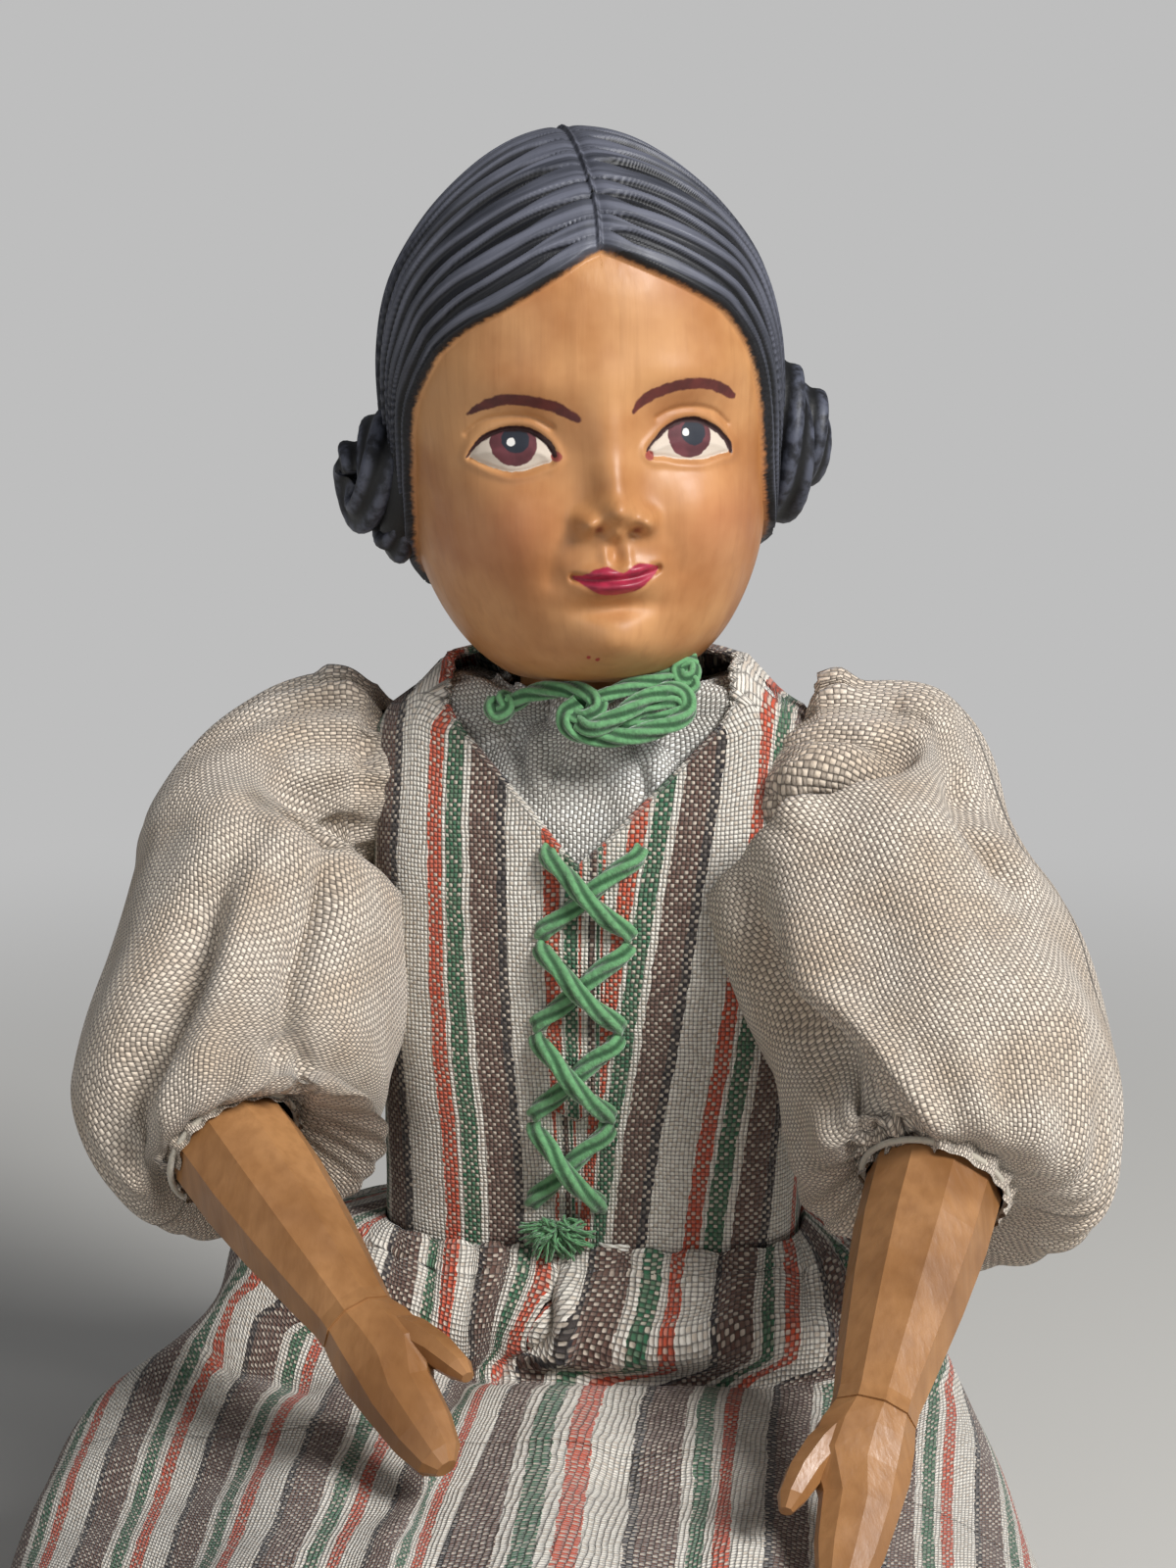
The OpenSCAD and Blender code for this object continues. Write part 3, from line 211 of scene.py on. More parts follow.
def make(name, points, faces, material, marks):
    """Mesh object from points in mm, with named numbers or vectors for each point."""
    mesh = bpy.data.meshes.new(name)
    mesh.from_pydata((np.asarray(points, float).reshape(-1, 3) / 1000).tolist(), [], faces)
    for key, values in marks.items():
        values = np.asarray(values, np.float32)
        if values.ndim > 1 and values.shape[-1] == 3:
            mark = mesh.attributes.new(key, "FLOAT_VECTOR", "POINT")
            mark.data.foreach_set("vector", values.reshape(-1))
        else:
            mark = mesh.attributes.new(key, "FLOAT", "POINT")
            mark.data.foreach_set("value", values.reshape(-1))
    mesh.polygons.foreach_set("use_smooth", [True] * len(mesh.polygons))
    mesh.materials.append(material)
    obj = bpy.data.objects.new(name, mesh)
    bpy.context.collection.objects.link(obj)
    return obj


def wear(obj, node, body):
    """The piece stands for a node, whose own part it hides, and rides on a body."""
    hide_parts(node)
    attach(obj, body)


def grid_faces(m, n, wrap, start=0, flip=False, keep=None):
    j, i = np.meshgrid(np.arange(m - 1), np.arange(n if wrap else n - 1), indexing="ij")
    k = (i + 1) % n
    q = np.stack([j * n + i, j * n + k, (j + 1) * n + k, (j + 1) * n + i], -1).reshape(-1, 4)
    if keep is not None:
        q = q[keep[q].all(axis=1)]
    if flip:
        q = q[:, ::-1]
    return (q + start).tolist()


def normals(grid, wrap):
    up = np.gradient(grid, axis=0)
    if wrap:
        on = np.roll(grid, -1, axis=1) - np.roll(grid, 1, axis=1)
    else:
        on = np.gradient(grid, axis=1)
    return unit(np.cross(on, up))


def rope(path, radius, lobes, twist, sides, steps, swell, phase=0.0):
    """Twisted yarn along a smooth path: its points as a grid, and how far each stands out."""
    p = curve(path, np.linspace(0, 1, (len(path) - 1) * steps + 1))
    t = unit(np.gradient(p, axis=0))
    side = np.zeros_like(p)
    s = np.cross(t[0], [0, 0, 1.0] if abs(t[0][2]) < 0.8 else [1.0, 0, 0])
    for k in range(len(p)):
        s = s - t[k] * (s @ t[k])
        s = s / np.linalg.norm(s)
        side[k] = s
    up = np.cross(t, side)
    far = travel(p)
    a = np.arange(sides) * 2 * math.pi / sides
    r = np.broadcast_to(np.asarray(radius, float), (len(p),))[:, None]
    lobe = 1 + swell * np.cos(lobes * a[None, :] - 2 * math.pi * far[:, None] / twist + phase)
    r = r * lobe / (1 + swell * 0.4)
    return p[:, None] + r[..., None] * spokes(a, side[:, None], up[:, None]), lobe


def join(pieces):
    """Several tubes, each a grid and its lobes, as one set of points and faces with closed ends."""
    points, faces, height, start = [], [], [], 0
    for grid, lobe in pieces:
        m, n = grid.shape[:2]
        points.append(grid.reshape(-1, 3))
        height.append(np.asarray(lobe).reshape(-1))
        faces += grid_faces(m, n, True, start, True)
        faces.append(list(range(start, start + n)))
        faces.append(list(range(start + (m - 1) * n, start + m * n))[::-1])
        start += m * n
    return np.vstack(points), faces, np.concatenate(height)


def make_yarn(name, tubes, node, material):
    points, faces, lobe = join(tubes)
    wear(make(name, points, faces, material, {"lobe": lobe}), node, "torso")


# Materials

class Shader:
    """Short way to write a node tree of maths and mixes."""

    def __init__(self, name):
        self.mat = bpy.data.materials.new(name)
        self.mat.use_nodes = True
        self.tree = self.mat.node_tree
        self.main = self.tree.nodes["Principled BSDF"]

    def put(self, socket, value):
        if isinstance(value, bpy.types.NodeSocket):
            self.tree.links.new(value, socket)
        else:
            socket.default_value = value

    def math(self, operation, *values):
        n = self.tree.nodes.new("ShaderNodeMath")
        n.operation = operation
        for k, v in enumerate(values):
            self.put(n.inputs[k], v)
        return n.outputs[0]

    def plus(self, a, b):
        return self.math("ADD", a, b)

    def minus(self, a, b):
        return self.math("SUBTRACT", a, b)

    def times(self, a, b):
        return self.math("MULTIPLY", a, b)

    def mark(self, name, vector=False):
        n = self.tree.nodes.new("ShaderNodeAttribute")
        n.attribute_name = name
        return n.outputs["Vector" if vector else "Fac"]

    def split(self, vector):
        n = self.tree.nodes.new("ShaderNodeSeparateXYZ")
        self.put(n.inputs[0], vector)
        return n.outputs

    def noise(self, scale, detail=3, place=None, stretch=None):
        place = place or self.place()
        if stretch:
            m = self.tree.nodes.new("ShaderNodeMapping")
            m.inputs["Scale"].default_value = stretch
            self.put(m.inputs[0], place)
            place = m.outputs[0]
        n = self.tree.nodes.new("ShaderNodeTexNoise")
        self.put(n.inputs["Vector"], place)
        n.inputs["Scale"].default_value = scale
        n.inputs["Detail"].default_value = detail
        n.inputs["Roughness"].default_value = 0.55
        return n.outputs["Fac"]

    def place(self):
        n = self.tree.nodes.new("ShaderNodeTexCoord")
        return n.outputs["Object"]

    def range(self, value, low, high, out_low=0.0, out_high=1.0):
        n = self.tree.nodes.new("ShaderNodeMapRange")
        n.interpolation_type = "SMOOTHSTEP"
        for k, v in enumerate((value, low, high, out_low, out_high)):
            self.put(n.inputs[k], v)
        return n.outputs[0]

    def mix(self, share, a, b):
        n = self.tree.nodes.new("ShaderNodeMix")
        n.data_type = "RGBA"
        for key, v in ((0, share), (6, a), (7, b)):
            self.put(n.inputs[key], v)
        return n.outputs[2]

    def bands(self, value, stops):
        n = self.tree.nodes.new("ShaderNodeValToRGB")
        n.color_ramp.interpolation = "CONSTANT"
        marks = n.color_ramp.elements
        while len(marks) < len(stops):
            marks.new(0.5)
        for m, (at, c) in zip(marks, stops):
            m.position = at
            m.color = c
        self.put(n.inputs[0], value)
        return n.outputs[0]

    def bump(self, height, strength, distance):
        n = self.tree.nodes.new("ShaderNodeBump")
        self.put(n.inputs["Height"], height)
        n.inputs["Strength"].default_value = strength
        n.inputs["Distance"].default_value = distance / 1000
        return n.outputs[0]

    def done(self, colour, roughness, normal=None, sheen=0.0):
        self.put(self.main.inputs["Base Color"], colour)
        self.put(self.main.inputs["Roughness"], roughness)
        if normal is not None:
            self.put(self.main.inputs["Normal"], normal)
        if sheen:
            self.main.inputs["Sheen Weight"].default_value = sheen
        return self.mat


def rgb(r, g, b):
    """Colour as it shows, as the linear light that the shader takes."""
    def line(c):
        c = c / 255
        return c / 12.92 if c < 0.04045 else ((c + 0.055) / 1.055) ** 2.4
    return (line(r), line(g), line(b), 1)


def wood(name, light, dark, roughness=0.36):
    s = Shader(name)
    mottle = s.noise(60, 4)
    fine = s.noise(900, 3, stretch=(1, 1, 0.06))
    colour = s.mix(s.range(mottle, 0.3, 0.7), dark, light)
    colour = s.mix(s.times(s.range(fine, 0.35, 0.75), 0.35), colour, dark)
    normal = s.bump(fine, 0.25, 0.25)
    return s.done(colour, s.range(s.noise(200, 2), 0.3, 0.7, roughness - 0.06, roughness + 0.1), normal)


limb = wood("limb wood", rgb(176, 128, 82), rgb(124, 82, 44))
dowel = wood("dowel wood", rgb(205, 165, 115), rgb(175, 130, 80), 0.6)
boot_wood = wood("leg wood", rgb(200, 150, 98), rgb(165, 112, 66), 0.5)


# Width of a thread, and how far it stands out, in mm
THREAD, THREAD_RISE = 0.47, 0.32


def cloth(name, base, shade, pattern=None, flecks=None):
    """Hopsack: warp and weft threads pass over and under by turns; stripes lie in the warp."""
    s = Shader(name)
    u, v, w = s.split(s.mark("weave", True))
    drift = s.times(s.minus(s.noise(160, 2), 0.5), 0.8)
    u = s.math("DIVIDE", s.plus(u, drift), THREAD)
    v = s.math("DIVIDE", s.plus(v, drift), THREAD)
    odd = s.math("ABSOLUTE", s.math("MODULO", s.plus(s.math("FLOOR", u), s.math("FLOOR", v)), 2.0))
    odd = s.math("LESS_THAN", s.math("ABSOLUTE", s.minus(odd, 1)), 0.5)
    even = s.minus(1, odd)

    def hump(socket):
        part = s.math("FRACT", socket)
        return s.times(s.times(part, s.minus(1, part)), 4)
    hu, hv = hump(u), hump(v)
    # On plain cloth the warp's grains are longer and the weft lies lower
    end, low = (0.35, 1.0) if pattern else (0.6, 0.6)
    warp = s.times(s.math("POWER", hu, 0.6), s.plus(end, s.times(hv, 1 - end)))
    weft = s.times(s.math("POWER", hv, 0.6), s.plus(0.35, s.times(hu, 0.65)))
    height = s.plus(s.times(warp, odd), s.times(weft, s.times(even, low)))
    fuzz = s.noise(2600, 2)
    cell = s.tree.nodes.new("ShaderNodeCombineXYZ")
    s.put(cell.inputs[0], s.math("FLOOR", u))
    s.put(cell.inputs[1], s.math("FLOOR", v))
    slub = s.tree.nodes.new("ShaderNodeTexWhiteNoise")
    slub.noise_dimensions = "2D"
    s.put(slub.inputs["Vector"], cell.outputs[0])
    slub = slub.outputs[0]
    colour = s.mix(s.range(s.noise(110, 3), 0.35, 0.7), base, shade)
    if pattern:
        total = sum(wide for wide, _ in pattern)
        stops = [(sum(wide for wide, _ in pattern[:k]) / total, c) for k, (_, c) in enumerate(pattern)]
        edge = s.times(s.minus(s.noise(700, 2), 0.5), 0.05)
        dye = s.bands(s.math("FRACT", s.plus(w, edge)), stops)
        over = s.times(even, s.range(s.times(s.math("POWER", hu, 0.4), hv), 0.25, 0.6))
        colour = s.mix(s.times(over, s.range(slub, 0.1, 0.8, 0.15, 0.85)), dye, flecks)
    # Darker cells: random slub tone of the thread, and on plain cloth painted shade on the weft-over cells,
    # which the light catches less than the warp
    lie = s.plus(s.times(slub, 0.22), s.times(even, 0.0 if pattern else 0.4))
    colour = s.mix(lie, colour, (0.25, 0.2, 0.16, 1))
    # Painted shade: the gaps between the threads and the corners of each cell are darkened where shade
    # falls, while thread tops keep the full colour
    painted_gap_shade = s.range(s.plus(height, s.times(s.minus(fuzz, 0.5), 0.5)), 0.12, 0.72)
    painted_corner_shade = s.range(s.times(s.minus(1, hu), s.minus(1, hv)), 0.3, 0.8, 1.0, 0.25)
    colour = s.mix(s.times(painted_gap_shade, painted_corner_shade), s.mix(0.72, colour, (0.03, 0.02, 0.014, 1)), colour)
    bumps = s.bump(s.plus(height, s.times(fuzz, 0.35)), 0.9, THREAD_RISE)
    return s.done(colour, 0.95, bumps, 0.25)


CREAM, CREAM_SHADE = rgb(248, 234, 216), rgb(226, 206, 182)
STRIPE_CREAM = rgb(240, 234, 222)
ORANGE, GREEN = rgb(206, 78, 44), rgb(48, 106, 74)
BROWN, BLACK = rgb(98, 68, 58), rgb(34, 30, 36)
BODICE_STRIPES = [
    (1.7, ORANGE), (0.5, STRIPE_CREAM), (1.9, GREEN), (0.9, STRIPE_CREAM),
    (3.0, BROWN), (1.1, BLACK), (4.1, STRIPE_CREAM),
]
SKIRT_STRIPES = [
    (1.5, ORANGE), (3.0, STRIPE_CREAM), (0.8, BLACK), (3.4, BROWN),
    (1.0, STRIPE_CREAM), (1.5, GREEN), (1.0, STRIPE_CREAM),
]
# Width in mm after which the stripes repeat
BODICE_REPEAT, SKIRT_REPEAT = 13.25, 12.2
cream_cloth = cloth("cream cloth", CREAM, CREAM_SHADE)
bodice_cloth = cloth("bodice cloth", STRIPE_CREAM, CREAM_SHADE, BODICE_STRIPES, flecks=rgb(222, 208, 190))
blouse_cloth = cloth("blouse cloth", rgb(255, 255, 250), rgb(246, 242, 232))
skirt_cloth = cloth("skirt cloth", STRIPE_CREAM, CREAM_SHADE, SKIRT_STRIPES, flecks=rgb(222, 208, 190))


def yarn(name, light, dark):
    s = Shader(name)
    fibre = s.noise(1500, 3)
    # Ply crests take the light colour and the valleys between the plies the dark one: painted shade in the
    # valleys of the twist
    lobe = s.range(s.mark("lobe"), 0.84, 1.08)
    colour = s.mix(lobe, dark, light)
    colour = s.mix(s.times(s.range(fibre, 0.4, 0.7), 0.35), colour, dark)
    return s.done(colour, 0.95, s.bump(fibre, 0.8, 0.35), 0.5)


green_yarn = yarn("green yarn", rgb(104, 160, 108), rgb(44, 84, 50))
white_thread = yarn("white thread", rgb(240, 236, 226), rgb(186, 178, 162))

# Head

WIDTH = [0, 0.38, 0.61, 0.78, 0.9, 0.955, 1, 1, 0.92, 0.735, 0.5, 0.26, 0]
FRONT = [0, 0.46, 0.72, 0.83, 0.865, 0.88, 0.9, 0.93, 0.9, 0.75, 0.52, 0.27, 0]
BACK = [0, 0.3, 0.5, 0.64, 0.78, 0.92, 1.03, 1.07, 1, 0.81, 0.56, 0.29, 0]
# Edge of the hair: angle round the head, and height
HAIR_EDGE = [
    (-180, 8.5), (-150, 9), (-112, 12), (-92, 15.5), (-82, 18.5), (-78, 20.6), (-74, 23.6), (-70, 26.4),
    (-66.5, 30), (-63, 32.4), (-58, 34.6), (-54, 36.2), (-50, 37.8), (-44, 39.2), (-37, 40.5),
    (-29, 41.6), (-20, 43.2), (-11, 45), (-4, 46.6), (0.6, 47.3), (5, 46.5), (11, 45.4), (20, 43.8),
    (28, 42.3), (36, 40.7), (41, 39), (46, 36.8), (50, 34.3), (53.5, 31), (56.5, 27), (60, 23),
    (65, 19.8), (71, 17.5), (82, 15.5), (112, 12), (150, 9), (180, 8.5),
]
# Bumps of the face: place across and up, spread across and up, height
FACE = [
    (-0.2, 20.5, 2.35, 1.8, 3.5), (-0.25, 23.6, 2.3, 3.0, 2.4), (-0.3, 28.5, 2.8, 3.2, 1.2),
    (-0.3, 33, 2.6, 3.5, 0.5), (-3.3, 19.5, 1.3, 1.25, 2.4), (2.9, 19.3, 1.3, 1.25, 2.4),
    (-0.3, 18.3, 0.9, 0.8, 0.9), (-9.7, 28.2, 5.0, 3.6, -1.9), (8.8, 28.0, 5.0, 3.6, -1.9),
    (-9.4, 34.0, 6.0, 2.2, 0.7), (8.9, 34.0, 6.0, 2.2, 0.7), (-11.5, 19.3, 5.6, 5.6, 2.1),
    (10.8, 19.3, 5.6, 5.6, 2.1), (-0.3, 13.8, 5.6, 4.4, 1.7), (-6.6, 13.9, 1.4, 1.6, -0.35),
    (6.2, 14.2, 1.6, 1.8, -0.2), (-2.0, 14.3, 2.4, 0.8, 0.75), (1.9, 14.5, 2.4, 0.8, 0.75),
    (-0.3, 12.9, 3.1, 0.9, 1.0), (-0.4, 16.2, 0.6, 1.3, -0.5), (-1.6, 16.1, 0.55, 1.2, 0.3),
    (0.9, 16.1, 0.55, 1.2, 0.3), (-0.4, 10.4, 3.8, 1.1, -1.3), (-0.6, 6.7, 4.4, 3.0, 2.5),
    (-2.0, 18.6, 0.75, 0.55, -0.7), (1.8, 18.3, 0.75, 0.55, -0.7),
]
EYE = {
    "near": dict(
        ring=[(-14.4, 27.0), (-13.6, 28.25), (-12.35, 29.15), (-10.85, 29.6), (-9.6, 29.65),
              (-8.3, 29.4), (-7.25, 28.7), (-6.4, 27.7), (-6.0, 26.7), (-6.4, 26.0), (-7.3, 25.8),
              (-8.6, 25.4), (-10.4, 25.2), (-11.9, 25.65), (-13.1, 26.2), (-14.1, 26.8)],
        lid=[(-14.7, 26.9), (-13.6, 28.3), (-12.35, 29.2), (-10.85, 29.65), (-9.6, 29.7), (-8.3, 29.45),
             (-7.25, 28.75), (-6.3, 27.8), (-5.9, 26.7)],
        iris=(-9.95, 28.2, 2.38), pupil=(-9.75, 28.6, 1.42), light=(-10.2, 28.35, 0.42),
        corner=(-5.75, 26.6, 0.55),
        brow=[(-14.3, 31.5), (-13.2, 32.1), (-11.9, 32.55), (-10.7, 32.8), (-9.4, 32.7), (-8.1, 32.45),
              (-6.7, 32.1), (-5.4, 31.6), (-3.5, 30.4)],
        crease=[(-14.6, 29.4), (-12.9, 30.7), (-10.5, 31.1), (-8.0, 30.8), (-6.0, 29.6)],
    ),
    "far": dict(
        ring=[(3.85, 26.7), (4.7, 27.6), (5.95, 28.6), (7.35, 29.25), (8.85, 29.4), (10.05, 29.15),
              (11.25, 28.5), (12.25, 27.7), (13.0, 26.6), (13.05, 25.7), (12.45, 25.65), (11.15, 25.4),
              (9.8, 25.2), (8.4, 25.3), (6.95, 25.5), (5.6, 25.85), (4.4, 26.0)],
        lid=[(3.7, 26.6), (4.7, 27.65), (5.95, 28.65), (7.35, 29.3), (8.85, 29.45), (10.05, 29.2),
             (11.25, 28.55), (12.25, 27.75), (13.1, 26.6), (13.3, 25.7)],
        iris=(8.6, 27.9, 2.42), pupil=(9.05, 28.1, 1.35), light=(8.2, 28.2, 0.4),
        corner=(3.95, 26.1, 0.5),
        brow=[(2.4, 30.75), (3.05, 31.55), (4.4, 32.35), (6.1, 32.9), (7.7, 33.2), (9.7, 33.2),
              (11.4, 32.9), (12.9, 32.2), (13.8, 31.6)],
        crease=[(5.0, 29.95), (6.7, 30.65), (9.1, 30.75), (11.5, 30.15), (13.1, 28.7)],
    ),
}
LIPS = [
    (-4.9, 14.0), (-3.9, 14.2), (-2.7, 14.7), (-1.5, 14.95), (0.1, 14.3), (1.6, 15.0), (2.9, 14.9),
    (4.2, 14.4), (3.1, 13.2), (1.7, 12.3), (-0.2, 11.95), (-2.1, 12.05), (-3.3, 12.7), (-4.2, 13.35),
]
LIP_LINE = [(-4.8, 13.95), (-3.3, 13.65), (-1.6, 13.55), (0.1, 13.5), (1.9, 13.7), (4.1, 14.3)]


def head_surface(a, t):
    """Bare form of the head: angle round it in degrees, and share from jaw to crown."""
    h = (1 - np.cos(np.pi * t)) / 2
    w = curve(WIDTH, t) * HEAD_W / 2
    d = np.where(np.abs(a) < 90, curve(FRONT, t), curve(BACK, t)) * HEAD_D / 2
    s, c = np.sin(np.radians(a)), np.cos(np.radians(a))
    x, y = w * np.sign(s) * np.abs(s) ** 0.92, -d * np.sign(c) * np.abs(c) ** 0.92
    return np.stack([x, y, h * HEAD_H], -1)


def head_place(p):
    p = p - [0, 0, HEAD_H / 40]
    return p @ (turn("z", HEAD_TURN) @ turn("y", HEAD_TILT)).T + [0, 0, HEAD_Z]


def directions(points):
    return unit(points - [0, 2.0, 30.0])


def comb(d, side):
    """How the hair is combed: number of the strand from hairline to nape, and share from parting to bun."""
    bun = np.array([side * 0.99, 0.1, -0.28])
    bun = bun / np.linalg.norm(bun)
    edge = np.array([e for e in HAIR_EDGE if 0 <= e[0] * side <= 92])
    edge = edge[np.argsort(np.abs(edge[:, 0]))]
    t = np.arccos(1 - 2 * edge[:, 1] / HEAD_H) / np.pi
    front = directions(head_surface(edge[:, 0], t))
    u = np.linspace(0, 1, 70)
    front = unit(curve(np.vstack([unit(np.array([0, front[0][1], front[0][2]])), front[1:], bun]), u))
    crown = unit(curve([[0, 0.12, 1.0], [side * 0.55, 0.12, 0.85], [side * 0.9, 0.1, 0.35], bun], u))
    nape = unit(curve([[0, 0.75, -0.55], [side * 0.35, 0.75, -0.55], [side * 0.75, 0.5, -0.5], bun], u))
    strand = np.full(len(d), np.nan)
    share = np.zeros(len(d))
    for first, a, b in ((0, front, crown), (1, crown, nape)):
        plane = unit(np.cross(a, b))
        f = d @ plane.T
        hit = f[:, :-1] * f[:, 1:] <= 0
        for k in range(len(u) - 1):
            m = hit[:, k] & np.isnan(strand)
            if not m.any():
                continue
            g = f[m, k] / (f[m, k] - f[m, k + 1] + 1e-12)
            p, q = mix(a[k], a[k + 1], g[:, None]), mix(b[k], b[k + 1], g[:, None])
            x, y = np.cross(p, d[m]), np.cross(d[m], q)
            w = np.linalg.norm(x, axis=1)
            w = w / (w + np.linalg.norm(y, axis=1) + 1e-12)
            good = (x * y).sum(1) > 0
            ids = np.where(m)[0][good]
            strand[ids] = first + w[good]
            share[ids] = mix(u[k], u[k + 1], g[good])
    return strand, share


# Painted marks of the face: colour, and how far their edges blur in mm
PAINTS = [
    ("white", rgb(206, 192, 176), 0.06), ("corner", rgb(150, 70, 60), 0.1),
    ("iris", rgb(104, 52, 58), 0.07), ("pupil", rgb(34, 38, 48), 0.07),
    ("light", rgb(226, 222, 216), 0.05), ("lid", rgb(52, 22, 22), 0.08),
    ("brow", rgb(96, 38, 32), 0.12), ("lips", rgb(178, 44, 72), 0.1),
    # The darker red along the parting of the lips is painted shade in the crease between them
    ("lip_parting_shade", rgb(140, 30, 52), 0.12), ("nostril", rgb(132, 66, 44), 0.3),
    ("specks", rgb(160, 40, 40), 0.08),
]


def face_material():
    s = Shader("painted head")
    grain = s.noise(750, 3, stretch=(1, 1, 0.07))
    mottle = s.noise(70, 4)
    colour = s.mix(s.range(mottle, 0.3, 0.7), rgb(166, 108, 60), rgb(200, 147, 96))
    colour = s.mix(s.times(s.range(grain, 0.45, 0.75), 0.22), colour, rgb(142, 90, 46))
    blush = s.mark("blush")
    colour = s.mix(s.times(blush, 0.25), colour, rgb(196, 112, 82))
    rag = s.times(s.minus(s.noise(1300, 3), 0.5), 0.35)
    rough = s.range(s.noise(220, 3), 0.3, 0.7, 0.4, 0.54)
    for name, paint, blur in PAINTS:
        d = s.plus(s.mark(name), rag)
        cover = s.range(d, -blur, blur, 1.0, 0.0)
        if name in ("iris", "lips", "brow"):
            deep = tuple(c * 0.62 for c in paint[:3]) + (1,)
            paint = s.mix(s.range(s.noise(500, 2), 0.35, 0.7), paint, deep)
        colour = s.mix(cover, colour, paint)
        if name == "white":
            rough = s.plus(rough, s.times(cover, 0.3))
    _, ridge, cover = s.split(s.mark("hair", True))
    streak = s.noise(1, 3, s.mark("lock", True))
    dark = s.mix(s.range(streak, 0.3, 0.7), rgb(44, 46, 54), rgb(100, 102, 114))
    dark = s.mix(s.range(s.plus(ridge, s.times(s.minus(streak, 0.5), 0.5)), 0.3, 0.8),
                 s.mix(s.range(streak, 0.4, 0.6), rgb(10, 11, 14), rgb(24, 25, 31)), dark)
    rim = s.plus(cover, s.times(rag, 0.8))
    colour = s.mix(s.range(rim, -0.1, 0.1), colour, dark)
    rough = s.plus(rough, s.range(rim, -0.1, 0.1, 0.0, 0.06))
    cut = s.plus(s.times(grain, 0.5), s.times(s.noise(260, 2), 0.6))
    return s.done(colour, rough, s.bump(s.plus(cut, s.times(streak, 1.2)), 0.35, 0.3))


